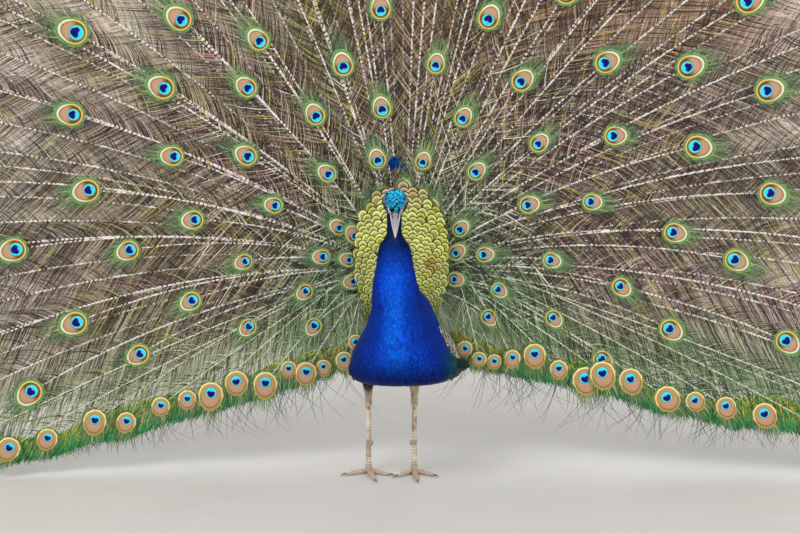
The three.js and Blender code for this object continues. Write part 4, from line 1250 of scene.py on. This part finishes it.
starts, leads, sizes, plumes = [], [], [], []
for name, way in (("left", 1.0), ("right", -1.0)):
    at = alongEdge(name, edgeBand["each"], 0.03, 1)
    at[:, 2] += hemLift(at[:, 0])
    n = len(at)
    rise = rng.uniform(2, edgeBand["deep"] * (1 + 0.25 * np.sin(at[:, 0] / 61)), n)
    starts.append(at + beside(0 * rise, -rng.uniform(4, 13, n), rise))
    leads.append(unit(beside(way * rng.uniform(0.1, 1.1, n), rng.normal(0, 0.10, n), -np.ones(n))))
    tone = rng.random(n)
    high = smooth(10, 38, rise)
    leaf = mix(srgb(2, 72, 30), srgb(84, 216, 96), tone)
    leaf = mix(leaf, srgb(8, 172, 124), 0.7 * bell(rng.random(n), 0.5, 0.16))
    leaf = mix(leaf, srgb(222, 214, 76), high * smooth(0.3, 0.8, rng.random(n)))
    leaf = mix(leaf, srgb(190, 150, 50), smooth(330, 140, np.abs(at[:, 0])) * smooth(0.3, 0.9, tone))
    sizes.append(edgeBand["length"] * rng.uniform(0.6, 1.1, n))
    plumes.append(leaf)
starts, leads, plumes, sizes = (np.concatenate(a) for a in (starts, leads, plumes, sizes))
n = len(starts)
placedRoots = placed(starts)
ribbon = unit(np.cross(leads, np.array([0, -1.0, 0])))
part = barbs(placedRoots, leads, np.tile([0, 0, -0.08], (n, 1)), ribbon, sizes * 0.001,
             edgeBand["width"] * 0.001 * rng.uniform(0.7, 1.2, n), plumes,
             mix(plumes, srgb(24, 84, 44), 0.55 * np.ones(n)), fanPlace(placedRoots), 2)
makeInChunks("edge_band", part, n, trainMaterial)
starts, leads, sizes = [], [], []
for name in ("left", "right"):
    at = alongEdge(name, edgeBand["hangCount"], 0.04, 0.98)
    at[:, 2] += hemLift(at[:, 0])
    n = len(at)
    starts.append(at + beside(0 * at[:, 0], -rng.uniform(0, 8, n), rng.uniform(0, 12, n)))
    leads.append(unit(beside(rng.normal(0, 0.4, n), rng.normal(0, 0.12, n), -np.ones(n))))
    sizes.append(np.minimum(edgeBand["hang"] * rng.uniform(0.25, 1.0, n) ** 1.3, 0.75 * (at[:, 2] - 20)))
starts, leads, sizes = (np.concatenate(a) for a in (starts, leads, sizes))
n = len(starts)
dark = mix(srgb(70, 60, 36), srgb(44, 70, 36), rng.random(n))
sway = beside(rng.normal(0, 0.35, n), rng.normal(0, 0.08, n), 0.1 * np.ones(n))
placedRoots = placed(starts)
part = barbs(placedRoots, leads, sway, unit(np.cross(leads, np.array([0, -1.0, 0]))),
             np.maximum(sizes, 12) * 0.001, 0.0013, dark, dark, fanPlace(placedRoots), 6)
makeInChunks("hanging_barbs", part, n, trainMaterial)
print("stage: lower edges of the train")

# The shield of scale feathers over the back.
shield = {"x": -23, "y": 76, "z": 528, "up": 164, "down": 196, "half": 112, "crown": 0.42, "waist": 0.34,
          "thick": 6, "dish": 34}
scales = {"x": -10, "z": 322, "first": 24, "stepLow": 5.6, "stepHigh": 12.5, "wideLow": 12.0,
          "wideHigh": 23.0, "lift": 0.15, "stainX": 44, "stainZ": 484, "stainSpread": 15}


def shieldHalf(z):  # half the shield's width at a height, and the height as a share of its reach
    tall = (z - shield["z"]) / np.where(z > shield["z"], shield["up"], shield["down"])
    corner = np.maximum(0.3, (1 - np.minimum(np.abs(tall), 1) ** 10) ** 0.4)
    narrow = np.where(tall > 0, shield["crown"], shield["waist"])
    return shield["half"] * (1 - narrow * tall ** 2) * corner, tall


def shieldDepth(x, z):  # how far back the shield's front face lies
    half, tall = shieldHalf(z)
    share = (x - shield["x"]) / half
    return shield["y"] - shield["dish"] * share ** 2 * half / shield["half"] - 18 * np.maximum(0, tall) ** 2


def shieldSurface(u, v, w):  # the shield laid out by its width u and height v, w through its thickness
    tall = 2 * v - 1
    z = shield["z"] + 0.97 * tall * np.where(tall > 0, shield["up"], shield["down"])
    half = shieldHalf(z)[0]
    x = shield["x"] + 0.95 * half * (2 * u - 1)
    return placed(beside(x, shieldDepth(x, z) + 1.5 + w * (shield["thick"] - 1.5), z))


# The soft layers beneath larger feathers.
underMaterial = grainMaterial("under_feathers", srgb(46, 46, 26), srgb(96, 92, 52), 0.8, 260.0, 0.4, 0.001,
                              sheen=0.2)
downyMaterial = grainMaterial("shield_down", srgb(92, 92, 36), srgb(150, 142, 78), 0.8, 260.0, 0.4, 0.001,
                              sheen=0.2)
makePiece("shield_under", flatPlace(slab(shieldSurface, 33, 45), 0.1, 0.1, 0.2, 0.3),
          downyMaterial, ("back_shield",))

roots, sizes, steps = [], [], []
reachOut, odd = float(scales["first"]), 0
while reachOut < 400:
    grow = min(1.0, reachOut / 350)
    wide = scales["wideLow"] + (scales["wideHigh"] - scales["wideLow"]) * grow
    count = max(3, int(np.pi * 1.5 * reachOut / wide))
    angle = np.radians(-45) + np.radians(270) * (np.arange(count) + 0.5 * odd + 0.25) / count
    angle = angle + rng.normal(0, 0.10 * wide / reachOut, count)
    far = reachOut + rng.normal(0, 0.6, count)
    roots.append(beside(scales["x"] + far * np.cos(angle), scales["z"] + far * np.sin(angle)))
    rowStep = scales["stepLow"] + (scales["stepHigh"] - scales["stepLow"]) * grow
    sizes.append(np.full(count, wide))
    steps.append(np.full(count, rowStep))
    reachOut, odd = reachOut + rowStep, 1 - odd
roots, sizes, steps = np.concatenate(roots), np.concatenate(sizes), np.concatenate(steps)
outward = unit(roots - np.array([scales["x"], scales["z"]]))
tips = roots + outward * (2.0 * steps)[:, None]
half, tall = shieldHalf(tips[:, 1])
inside = (np.abs(tips[:, 0] - shield["x"]) < half * 1.03) & (np.abs(tall) < 1.04)
roots, sizes, steps, outward = roots[inside], sizes[inside], steps[inside], outward[inside]
x, z = roots[:, 0], roots[:, 1]
slopeX = (shieldDepth(x + 1, z) - shieldDepth(x - 1, z)) / 2
slopeZ = (shieldDepth(x, z + 1) - shieldDepth(x, z - 1)) / 2
normals = unit(beside(slopeX, -np.ones(len(x)), slopeZ))
lie = beside(outward[:, 0], slopeX * outward[:, 0] + slopeZ * outward[:, 1], outward[:, 1])
lie = lie + rng.normal(0, 0.03, lie.shape)
rootsHere = placed(beside(x, shieldDepth(x, z), z))
tone = rng.random(len(x))
gold = mix(srgb(200, 202, 84), srgb(228, 230, 142), tone)
gold = mix(gold, srgb(204, 178, 136), 0.9 * smooth(622, 660, z))
stain = np.exp(-((x - scales["stainX"]) ** 2 + (z - scales["stainZ"]) ** 2) / scales["stainSpread"] ** 2)
gold = mix(gold, srgb(176, 96, 40), 0.8 * stain)
gold = mix(gold, srgb(150, 150, 52), 0.5 * smooth(430, 350, z))
bake = beside(0.1 + 0.2 * (x + 140) / 240, 0.1 + 0.3 * (z - 330) / 370)
part = vanes(rootsHere, lie, normals, 2.5 * steps * 0.001, 0.66 * sizes * 0.001, gold, bake,
             rows=7, columns=7, lift=scales["lift"], crown=0.10, shoulder=0.42, tipWidth=0.2)
scaleMaterial, tree, shader = newMaterial("shield_scale", 0.42, 0.2, sheen=0.15)
u, v = readMap(tree)
x = times(tree, minus(tree, u, 0.5), 2.0)
y = calc(tree, "MAXIMUM", calc(tree, "DIVIDE", minus(tree, v, 0.42), 0.58), 0.0)
rim = calc(tree, "SQRT", plus(tree, times(tree, x, x), times(tree, y, y)))
grain = noise(tree, 900.0, 2.0)
rim = plus(tree, rim, times(tree, minus(tree, grain, 0.5), 0.10))
shade = ramp(tree, rim, [(0.0, (0.72, 0.66, 0.50)), (0.45, (0.80, 0.76, 0.62)), (0.56, (1.1, 1.1, 1.1)),
                         (0.64, (1.5, 1.5, 1.6)), (0.79, (1.45, 1.47, 1.5)), (0.86, (0.14, 0.20, 0.10)),
                         (1.0, (0.03, 0.06, 0.03))])
colour = shaded(tree, shaded(tree, read(tree, "plume"), shade), toneLevel(tree, 0.4))
paint(tree, shader, colour)
lines = calc(tree, "SINE", times(tree, plus(tree, v, calc(tree, "ABSOLUTE", x)), 60.0))
bump(tree, shader, lines, 0.2, 0.0003)
makeInChunks("shield_scales", part, len(rootsHere), scaleMaterial)
print("stage: shield of", len(rootsHere), "scales")

# Folded wings: barred coverts above, black edges below, chestnut primaries behind.
wing = {"front": -122, "back": 124, "topFront": 388, "topBack": 330, "lowFront": 250, "lowBack": 222,
        "left": 141, "right": 70, "columns": 13, "rows": 15}
primaries = {"front": 60, "back": 268, "zFront": 244, "zBack": 218, "height": 56, "x": 98, "count": 8}


def wingSurface(side, outermost):  # a curved plate that leaves the body's side by its hang
    def surface(u, v, w):  # u back along the wing, v up it, w outwards from the body
        y = wing["front"] + (wing["back"] - wing["front"]) * u
        shoulder = 1 - np.maximum(0, 1 - u / 0.3) ** 2.4
        rear = 1 - 0.35 * np.maximum(0, (u - 0.6) / 0.4) ** 2
        top = wing["topFront"] + (wing["topBack"] - wing["topFront"]) * u
        low = wing["lowFront"] + (wing["lowBack"] - wing["lowFront"]) * u
        z = (top + low) / 2 + (v - 0.5) * (top - low) * (0.35 + 0.65 * shoulder) * rear
        hang = outermost * (0.7 + 0.3 * np.minimum(1, u * 1.8)) * (1 - 0.8 * np.abs(v - 0.22))
        inner = np.maximum(bodyHalf(y, z) - 12 + 11 * smooth(0.25, 0.7, u), hang - 4)
        bulge = (1 - np.abs(2 * u - 1) ** 3) * (1 - np.abs(2 * v - 1) ** 3)
        return placed(beside(drift(y, z) + side * (inner + w * (2 + 3 * bulge)), y, z))
    return surface


def primarySurface(side):  # a thin upright plate that tapers backwards
    def surface(u, v, w):
        y = primaries["front"] + (primaries["back"] - primaries["front"]) * u
        z = primaries["zFront"] + (primaries["zBack"] - primaries["zFront"]) * u
        z = z + (v - 0.5) * primaries["height"] * 0.9 * (1 - 0.8 * u ** 2.6)
        x = primaries["x"] - 10 * u + (w - 0.5) * 5 * (1 - 0.6 * u)
        return placed(beside(drift(y) + side * x, y, z + 0 * x))
    return surface


def layOver(surface, u, v, side):  # places on a surface's outer face, with their normals and its u direction
    e = 0.01
    here = surface(u, v, 1.0)
    backward = surface(u + e, v, 1.0) - surface(u - e, v, 1.0)
    upward = surface(u, np.minimum(v + e, 1), 1.0) - surface(u, np.maximum(v - e, 0), 1.0)
    normals = unit(np.cross(backward, upward))
    return here, normals * np.where(normals[:, :1] * side < 0, -1, 1), backward


barredMaterial, tree, shader = newMaterial("barred_covert", 0.6, sheen=0.25)
u, v = readMap(tree)
patch = noise(tree, 60.0, 2.0)
bars = calc(tree, "SINE", plus(tree, times(tree, v, 15.0), times(tree, patch, 12.0)))
dark = step(tree, bars, -0.6, -0.3)
buff = shaded(tree, read(tree, "plume"), toneLevel(tree, 0.4))
paint(tree, shader, blendColour(tree, dark, buff, srgb(20, 17, 16)))
blackMaterial = featherMaterial("wing_black", 0.5, 0.4, 0.0, 0.5, 12.0, specular=0.15)
chestnutMaterial = featherMaterial("wing_chestnut", 0.55, 0.0, 0.2, 0.35, 40.0)
for name, side, left, leftBehind in (("left", 1, 0.32, 0.56), ("right", -1, 0.44, 0.68)):
    surface = wingSurface(side, wing[name])
    makePiece(f"wing_under_{name}", flatPlace(slab(surface, 31, 21), left, 0.1, 0.1, 0.1),
              underMaterial, (f"wing_{name}",))
    u, v = np.meshgrid((np.arange(wing["columns"]) + 0.2) / wing["columns"],
                       (np.arange(wing["rows"]) + 0.5) / wing["rows"])
    u = u + 0.5 / wing["columns"] * (np.arange(wing["rows"])[:, None] % 2)
    u, v = u.ravel()[::-1] * 0.93 + 0.02, v.ravel()[::-1]
    here, normals, backward = layOver(surface, u, v, side)
    lie = backward + np.array([0, 0, -0.15]) * np.linalg.norm(backward, axis=1, keepdims=True)
    size = 0.024 + 0.022 * u
    shoulder = u < (0.62 if side < 0 else 0.1)
    upper = (v > 0.42) & ~shoulder
    bake = beside(left + 0.1 * u, 0.1 + 0.1 * v)
    buffPlume = np.tile(srgb(224, 222, 196), (len(u), 1))
    blackPlume = mix(srgb(8, 14, 30), srgb(8, 56, 62), rng.random(len(u)))
    bluePlume = mix(srgb(4, 46, 150), srgb(3, 26, 96), rng.random(len(u)))
    for title, chosen, plume, material in (("coverts", upper, buffPlume, barredMaterial),
                                           ("shoulder", shoulder, bluePlume, blueFeather),
                                           ("secondaries", ~upper & ~shoulder, blackPlume, blackMaterial)):
        part = vanes(here[chosen], lie[chosen], normals[chosen], size[chosen] * 1.25, 0.0085,
                     plume[chosen], bake[chosen], rows=6, columns=5, lift=0.05, crown=0.2,
                     shoulder=0.55, tipWidth=0.25)
        makeInChunks(f"wing_{title}_{name}", part, chosen.sum(), material)
    surface = primarySurface(side)
    makePiece(f"primary_under_{name}", flatPlace(slab(surface, 25, 9), leftBehind, 0.1, 0.1, 0.1),
              underMaterial, (f"primaries_{name}",))
    v = (np.arange(primaries["count"]) + 0.5) / primaries["count"]
    u = 0.02 + 0.28 * (1 - v)
    here, normals, backward = layOver(surface, u, v, side)
    upward = np.array([0, 0, 0.10]) * np.linalg.norm(backward, axis=1, keepdims=True)
    lie = backward + upward * (0.5 - v)[:, None]
    here = here + normals * (0.0004 + 0.0006 * np.arange(primaries["count"]))[:, None]
    bake = beside(leftBehind + 0.1 * u, 0.1 + 0.1 * v)
    plume = mix(srgb(150, 92, 54), srgb(112, 64, 38), rng.random(len(v)))
    reachBack = (0.248 - here[:, 1]) * (1 - 0.16 * v)
    part = vanes(here, lie, normals, reachBack, 0.0105, plume, bake, rows=14, columns=5, lift=0.0,
                 crown=0.12, shoulder=0.75, tipWidth=0.2)
    makeInChunks(f"primary_feathers_{name}", part, len(v), chestnutMaterial)
print("stage: wings")

# The stiff tail behind the train.
tail = {"x": 4, "y": 218, "z": 350, "radius": 425, "low": 12, "lean": -70, "feathers": 20, "half": 0.030,
        "rows": 22, "columns": 7}
angle = np.radians(np.linspace(tail["low"] + 3, 177 - tail["low"], tail["feathers"]))
direction = beside(np.cos(angle), np.full(len(angle), tail["lean"] / tail["radius"]), np.sin(angle))
rootsHere = placed(beside(tail["x"] + 26 * np.cos(angle), tail["y"] - 4 + 0 * angle,
                          tail["z"] + 26 * np.sin(angle)))
rootsHere = rootsHere + np.array([0, 0.0009, 0]) * np.abs(np.arange(len(angle)) - 9.5)[:, None]
length = (tail["radius"] * (0.86 + 0.14 * np.sin(angle)) - 27) * 0.001
plume = mix(srgb(112, 104, 92), srgb(86, 78, 68), rng.random(len(angle)))
tailMaterial = featherMaterial("tail_feather", 0.65, 0.0, 0.2, 0.3, 70.0)
bake = beside(0.1 + 0.35 * np.arange(len(angle)) / len(angle), np.full(len(angle), 0.5))
part = vanes(rootsHere, direction, np.tile([0, 1.0, 0], (len(angle), 1)), length, tail["half"], plume, bake,
             tail["rows"], tail["columns"], lift=0.0, crown=0.10, shoulder=0.9, tipWidth=0.3)
ownPlace = (part["maps"]["Vane"] - [0.5, 0]) * [0.015, 0.2]
part["maps"]["OFBake"] = np.repeat(bake, tail["rows"] * tail["columns"], 0) + ownPlace
makeInChunks("tail_feathers", part, len(angle), tailMaterial, ("tail",))
print("stage: tail")

# Legs: scutes down the front of each shank and along each toe.
toeShape = {"side": 61, "middle": 84, "hind": 29, "width": 15.0, "height": 12.5, "claw": 16, "press": 0.9}
legMaterial, tree, shader = newMaterial("leg_skin", 0.6, coat=0.08)
u, v = readMap(tree)
grain = noise(tree, 330.0, 4.0)
blotch = noise(tree, 45.0, 3.0)
colour = blendColour(tree, step(tree, blotch, 0.40, 0.66), srgb(242, 228, 208), srgb(178, 154, 130))
height = tree.nodes.new("ShaderNodeSeparateXYZ")
feed(tree, height.inputs[0], readObject(tree))
low = times(tree, step(tree, height.outputs[2], 0.036, 0.014), 0.8)
colour = blendColour(tree, low, colour, srgb(204, 180, 162))
colour = blendColour(tree, times(tree, read(tree, "groove", "Fac"), 0.7), colour, srgb(104, 82, 66))
colour = shaded(tree, colour, scaled(tree, grain, 0.5, 0.75))
paint(tree, shader, colour)
bump(tree, shader, grain, 0.4, 0.0008)
clawMaterial = grainMaterial("claw_horn", srgb(96, 82, 70), srgb(146, 130, 112), 0.42, 240.0, 0.2, 0.0004,
                             coat=0.2)


def scutes(count, front, height=0.45, fine=7.0):
    # Overlapping plates: a saw wave along the limb on its front, rounded beads over the rest.
    def relief(turn, share):
        facing = smooth(-0.1, 0.5, np.cos(turn - front))
        saw = (share * count) % 1.0
        beads = np.abs(np.sin(share * count * 1.5 * np.pi) * np.sin(turn * fine))
        return height * (facing * saw ** 0.6 * (1 - smooth(0.86, 1.0, saw)) + (1 - facing) * 0.6 * beads)
    return relief


def grooved(part, count, front):  # how deep in a groove between plates each point lies
    u, v = part["maps"]["Vane"].T
    saw = (v * count) % 1.0
    facing = smooth(-0.1, 0.5, np.cos(2 * np.pi * u - front))
    beads = np.abs(np.sin(v * count * 1.5 * np.pi) * np.sin(2 * np.pi * u * 7.0))
    joint = np.maximum(smooth(0.80, 0.97, saw), smooth(0.12, 0.0, saw))
    part["values"] = {"groove": facing * joint + (1 - facing) * (1 - beads) * 0.5}
    return part


def toeTaper(v):  # a toe's thickness along it, with a pad under each joint
    return (1 - 0.32 * v) * (1 + 0.13 * np.cos(v * 6 * np.pi))


def roundEnds(v, share):  # 1, falling to 0 at both ends as the root of the distance over share
    return np.sqrt(np.minimum(1, np.minimum(v, 1 - v) / share))


for side in ("left", "right"):
    x, y = legs[side]["x"], legs["y"]
    front = -np.pi / 2
    v = np.linspace(0.0, 1, 150)
    path = curve([[x, y + 2, 12], [x, y + 3, 60], [x, y + 8, 118], [x, y + 12, 158], [x, y + 9, 172]], 150)
    knob = 2.4 * bell(v, 0.90, 0.08) + 1.3 * bell(v, 0, 0.12)
    r = (legs["shank"] - 0.4 + knob) * roundEnds(v, 0.03)
    shank = tubeRelief(path, r, r * 1.16, 36, (0, 1, 0), scutes(30, front))
    parts = [grooved(shank, 30, front)]
    v = np.linspace(0, 1, 40)
    path = curve([[x, y - 1, 4], [x, y + 1, 14], [x, y + 3, 34]], 40)
    r = legs["ankle"] * roundEnds(v, 0.35)
    parts.append(grooved(tubeRelief(path, r, r * 1.05, 36, (0, 1, 0), scutes(6, front)), 6, front))
    claws = []
    reaches = [toeShape[k] for k in ("side", "middle", "side", "hind")]
    for angle, reach in zip((*legs[side]["toes"], legs[side]["hind"]), reaches):
        heading = np.radians(angle)
        v = np.linspace(0, 1, 72)
        taper = toeTaper(v)
        ahead = beside(np.sin(heading) + 0 * v, -np.cos(heading) + 0 * v)
        flatPath = np.array([x, y]) + ahead * (reach * v)[:, None]
        tall = toeShape["height"] / 2 * taper
        path = np.concatenate([flatPath, (tall - toeShape["press"] + 0.4)[:, None]], 1)
        shape = roundEnds(v, 0.08)
        toe = tubeRelief(path, toeShape["width"] / 2 * taper * shape - 0.4, tall * shape - 0.4, 24, (0, 0, 1),
                         scutes(reach / 4.2, np.pi / 2, 0.5))
        parts.append(grooved(toe, reach / 4.2, np.pi / 2))
        v = np.linspace(0, 1, 22)
        spots = [reach - 4.0, reach + toeShape["claw"] * 0.45, reach + toeShape["claw"]]
        heights = [4.4, 5.4, 1.5]
        bend = curve([[x + ahead[0, 0] * s, y + ahead[0, 1] * s, h] for s, h in zip(spots, heights)], 22)
        taper = (1 - v) ** 0.65 * np.sqrt(np.minimum(1, v / 0.1))
        claws.append(tubeRelief(bend, 2.4 * taper, 3.0 * taper, 14, (0, 0, 1), noRelief))
    inward = -1 if side == "left" else 1
    path = curve([[x + inward * 3, y + 5, 66], [x + inward * 8, y + 17, 67],
                  [x + inward * 10, y + 27, 74]], 24)
    v = np.linspace(0, 1, 24)
    taper = (1 - v) ** 0.7 * np.sqrt(np.minimum(1, v / 0.1))
    spur = tubeRelief(path, 3.2 * taper, 3.2 * taper, 16, (0, 0, 1), noRelief)
    left = 0.78 if side == "left" else 0.88
    for k, part in enumerate(parts + claws + [spur]):
        part["points"] = placed(part["points"])
        part["points"][:, 2] = np.maximum(part["points"][:, 2], 0.0002)
        flatPlace(part, left, 0.06 + 0.05 * k, 0.08, 0.04)
        outwards(part)
    makePiece(f"leg_scutes_{side}", join(parts), legMaterial, (f"shank_{side}", f"foot_{side}"))
    makePiece(f"claws_horn_{side}", join(claws), clawMaterial,
              [f"claw_{side}_{k}" for k in (1, 2, 3, 4)])
    makePiece(f"spur_horn_{side}", spur, clawMaterial, (f"spur_{side}",))
print("stage: legs and feet")

# Head: bill, eyes and lids, small feathers, crest.
bill = {"length": 55, "width": 24, "depth": 20, "slope": 8, "droop": 7}
crest = {"shafts": 24, "length": 77, "spread": 50, "turn": 8, "lean": -2}


def billSurface(upper):  # one half of the bill
    root = headShape["length"] / 2 - 9

    def surface(u, v):  # half a cone that bends down: u round it, v from the tip back to the root
        share = 1 - v
        size = np.maximum(0, 1 - share ** 1.25) ** 0.8 * np.sqrt(np.minimum(1, share / 0.02))
        turn = 2 * np.pi * u
        reach = (bill["length"] if upper else bill["length"] * 0.86) * share
        bend = bill["slope"] * reach / bill["length"] + bill["droop"] * (reach / bill["length"]) ** 2
        lift = 1 if upper else -1
        tall = bill["depth"] * (0.62 if upper else 0.36)
        rise = np.maximum(0, lift * np.sin(turn)) * lift
        ridge = 1 - 0.10 * np.abs(np.cos(turn)) * (np.abs(np.sin(turn)) > 0.2)
        side = np.cos(turn) * bill["width"] / 2 * size * (1 if upper else 0.9)
        slit = np.exp(-((reach - 13) / 4.5) ** 2 - ((np.abs(side) - 5.6) / 1.6) ** 2) * (upper * (rise > 0.1))
        cere = 0.9 * bell(reach, 8, 5.0) * (rise * lift > 0.05) * upper
        rise = rise * tall * size * ridge + cere - 1.5 * slit
        return placed(headPoint(root + reach, side, rise + lift * 0.2 - 6 - bend))
    return surface


billMaterial, tree, shader = newMaterial("bill_horn", 0.38, coat=0.15)
u, v = readMap(tree)
grain = noise(tree, 160.0, 4.0)
colour = ramp(tree, v, [(0.0, srgb(240, 232, 218)), (0.14, srgb(210, 202, 202)), (0.40, srgb(172, 164, 176)),
                        (0.80, srgb(150, 142, 158)), (1.0, srgb(110, 104, 118))])
lower = calc(tree, "ABSOLUTE", calc(tree, "SINE", times(tree, u, 6.2832)))
base = step(tree, scaled(tree, lower, -0.2, plus(tree, v, 0.2)), 0.85, 0.95)
colour = blendColour(tree, base, colour, srgb(16, 22, 38))
# painted shade: dark in the nostril slits on each side of the upper bill
slit = times(tree, step(tree, calc(tree, "ABSOLUTE", minus(tree, v, 0.77)), 0.085, 0.035),
            step(tree, calc(tree, "ABSOLUTE", minus(tree, lower, 0.78)), 0.17, 0.08))
colour = blendColour(tree, times(tree, slit, 0.8), colour, srgb(34, 32, 46))
edge = times(tree, step(tree, lower, 0.66, 0.40), step(tree, v, 1.0, 0.9))
colour = blendColour(tree, edge, colour, srgb(236, 234, 228))
colour = shaded(tree, colour, scaled(tree, grain, 0.35, 0.82))
paint(tree, shader, colour)
bump(tree, shader, grain, 0.2, 0.0004)
for name, upper in (("upper", True), ("lower", False)):
    part = flatPlace(roundForm(billSurface(upper), 64, 60), 0.80 if upper else 0.90, 0.86, 0.08, 0.10)
    makePiece(f"bill_horn_{name}", part, billMaterial, (f"bill_{name}",))

eyeballMaterial, tree, shader = newMaterial("eyeball", 0.08, coat=1.0)
u, v = readMap(tree)
grain = noise(tree, 1200.0, 2.0)
iris = ramp(tree, plus(tree, v, times(tree, minus(tree, grain, 0.5), 0.03)), [
    (0.0, srgb(6, 5, 5)), (0.17, srgb(8, 6, 5)), (0.20, srgb(74, 44, 24)), (0.31, srgb(92, 58, 34)),
    (0.36, srgb(22, 14, 10)), (1.0, srgb(16, 12, 10))])
paint(tree, shader, iris)
lidMaterial = grainMaterial("eyelid", srgb(20, 24, 32), srgb(62, 70, 78), 0.55, 900.0, 0.4, 0.0005,
                            coat=0.1)


def eyeSurface(side):  # one eyeball
    def surface(u, v):  # an ellipsoid whose first pole faces outwards
        ring = np.sin(np.pi * v) * eyes["radius"]
        return placed(headPoint(eyes["forward"] + ring * np.cos(2 * np.pi * u),
                                side * (eyes["side"] + 0.8 * eyes["radius"] * np.cos(np.pi * v)),
                                eyes["up"] + ring * np.sin(2 * np.pi * u)))
    return surface


def lidSurface(side, thick, grow, low, high):
    # A fold round the eye: a small round section carried round an almond of the eye's size.
    around, sections = 72, 12
    turn, section = np.meshgrid(np.linspace(0, 2 * np.pi, around, endpoint=False),
                                np.linspace(0, 2 * np.pi, sections, endpoint=False))
    almond = 1 - 0.16 * np.abs(np.sin(turn)) ** 1.5
    r = (eyes["radius"] + grow) * almond + thick * np.cos(section)
    lateral = eyes["side"] + 2.9 - 0.6 * np.abs(np.cos(turn)) ** 2 + thick * np.sin(section)
    points = placed(headPoint(eyes["forward"] + r * np.cos(turn), side * lateral,
                              eyes["up"] + 0.4 + r * np.sin(turn)))
    i = np.arange(around)
    j = (i + 1) % around
    last = (sections - 1) * around
    closing = beside(last + i, last + j, j, i)
    faces = np.concatenate([gridFaces(around, sections, True), closing])
    uv = beside(turn / (2 * np.pi), section / (2 * np.pi)).reshape(-1, 2)
    part = {"points": points.reshape(-1, 3), "faces": [faces], "maps": {"Vane": uv}}
    return flatPlace(outwards(part), low, high, 0.04, 0.02)


for name, side in (("left", 1), ("right", -1)):
    low = 0.80 if side > 0 else 0.90
    part = flatPlace(roundForm(eyeSurface(side), 48, 40), low, 0.78, 0.04, 0.04)
    makePiece(f"eyeball_{name}", part, eyeballMaterial, (f"eye_{name}",))
    lids = join([lidSurface(side, 0.75, 0.1, low, 0.83), lidSurface(side, 0.55, 1.5, low + 0.05, 0.83)])
    makePiece(f"eyelids_{name}", lids, lidMaterial)

# Small feathers over the head, from places spread evenly round it and thinned.
headPlaces = 60000
turn = rng.uniform(0, 2 * np.pi, headPlaces)
share = np.arccos(rng.uniform(-1, 1, headPlaces)) / np.pi
e = 0.004
here = placed(headSurface(turn, share))
normals = unit(np.cross(placed(headSurface(turn + e, share)) - here,
                        placed(headSurface(turn, share + e)) - here))
normals = normals * np.sign(((here - placed(headCentre)) * normals).sum(-1, keepdims=True))
forward, side, up = headLocal(here)
onHere = headShare(here)
eyeGap = np.hypot(forward - eyes["forward"], up - eyes["up"]) * np.where(np.abs(side) > 10, 1, 9)
roomy = ((onHere > 0.35) & (eyeGap > 7.9) & (bareSkin(here) < 0.4)
         & ((forward < 25) | (up > 0)) & (forward < 31))
fine = smooth(-6, 22, forward)
cell = 0.0030 - 0.0012 * fine
spots = np.flatnonzero(roomy)
spots = spots[thin(here[spots], cell[spots])]
here, normals, cell, onHere = here[spots], normals[spots], cell[spots], onHere[spots]
lie = mix(np.tile([0, 0.3, -1.0], (len(here), 1)), -headForward + 0.1 * headUp, np.ones(len(here)))
lie = lie + rng.normal(0, 0.22, lie.shape)
plume = markingsAndPaintedLight(here, normals)
length = cell * 2.1 * rng.uniform(0.8, 1.2, len(here))
part = vanes(here - normals * 0.0010, lie, normals, length, cell * 0.62, plume, skinPlace(here),
             rows=4, columns=3, lift=0.42, crown=0.3, shoulder=0.4, tipWidth=0.2)
makeInChunks("head_feathers", part, len(here), blueFeather)
print("stage: head feathers", len(here))

# The crest: a fan of bare shafts, each with three crossed blades at its tip.
shaftTilt = np.radians(np.linspace(-crest["spread"] / 2, crest["spread"] / 2, crest["shafts"]) + 4)
shaftTilt = shaftTilt + rng.normal(0, 0.02, crest["shafts"])
yaw = np.radians(crest["turn"] + rng.normal(0, 14, crest["shafts"]))
lean = np.sin(np.radians(crest["lean"])) + np.sin(shaftTilt) * np.sin(yaw)
lean = lean + rng.normal(0, 0.012, len(shaftTilt))
rise = unit(beside(lean, np.sin(shaftTilt), np.cos(shaftTilt)))
order = np.linspace(0, 7, crest["shafts"])
root = headPoint(-17 - 0.6 * order, rng.normal(0, 0.8, len(order)), headShape["height"] / 2 - 4)
size = crest["length"] - 0.35 * np.abs(order - 4) ** 1.6 - rng.uniform(0, 9, len(order))
shafts = []
radius = np.full(9, 0.00050)
for k in range(crest["shafts"]):
    path = root[k] + rise[k] * np.linspace(0, size[k] - 4, 9)[:, None]
    rod = tubeRelief(placed(path), radius, radius, 5, (1, 0.2, 0), noRelief)
    shafts.append(flatPlace(outwards(rod), 0.1 + 0.012 * k, 0.9, 0.01, 0.04))
crestShaft, tree, shader = newMaterial("crest_shaft", 0.5)
grain = noise(tree, 300.0, 2.0)
paint(tree, shader, ramp(tree, grain, [(0.3, srgb(84, 68, 58)), (0.7, srgb(150, 132, 116))]))
makePiece("crest_shafts", join(shafts), crestShaft, ("crest",))
parts = []
for turned in (0.0, 1.1, 2.2):
    blade = beside(np.cos(yaw + turned), -np.sin(yaw + turned), 0 * yaw)
    start = placed(root + rise * (size - 15)[:, None])
    bright = rng.random(len(order))
    plume = mix(srgb(16, 54, 156), srgb(50, 160, 220), smooth(0.4, 1.0, bright))
    bake = beside(0.1 + 0.012 * np.arange(len(order)), np.full(len(order), 0.95))
    parts.append(vanes(start, rise, np.cross(rise, blade), 0.016, 0.0046, plume, bake,
                       rows=6, columns=5, lift=0.0, crown=0.2, shoulder=0.5, tipWidth=0.15))
part = join(parts)
part["faces"] = [np.concatenate(part["faces"])]
makeInChunks("crest_tips", part, 3 * len(order), blueFeather)
print("stage: crest")
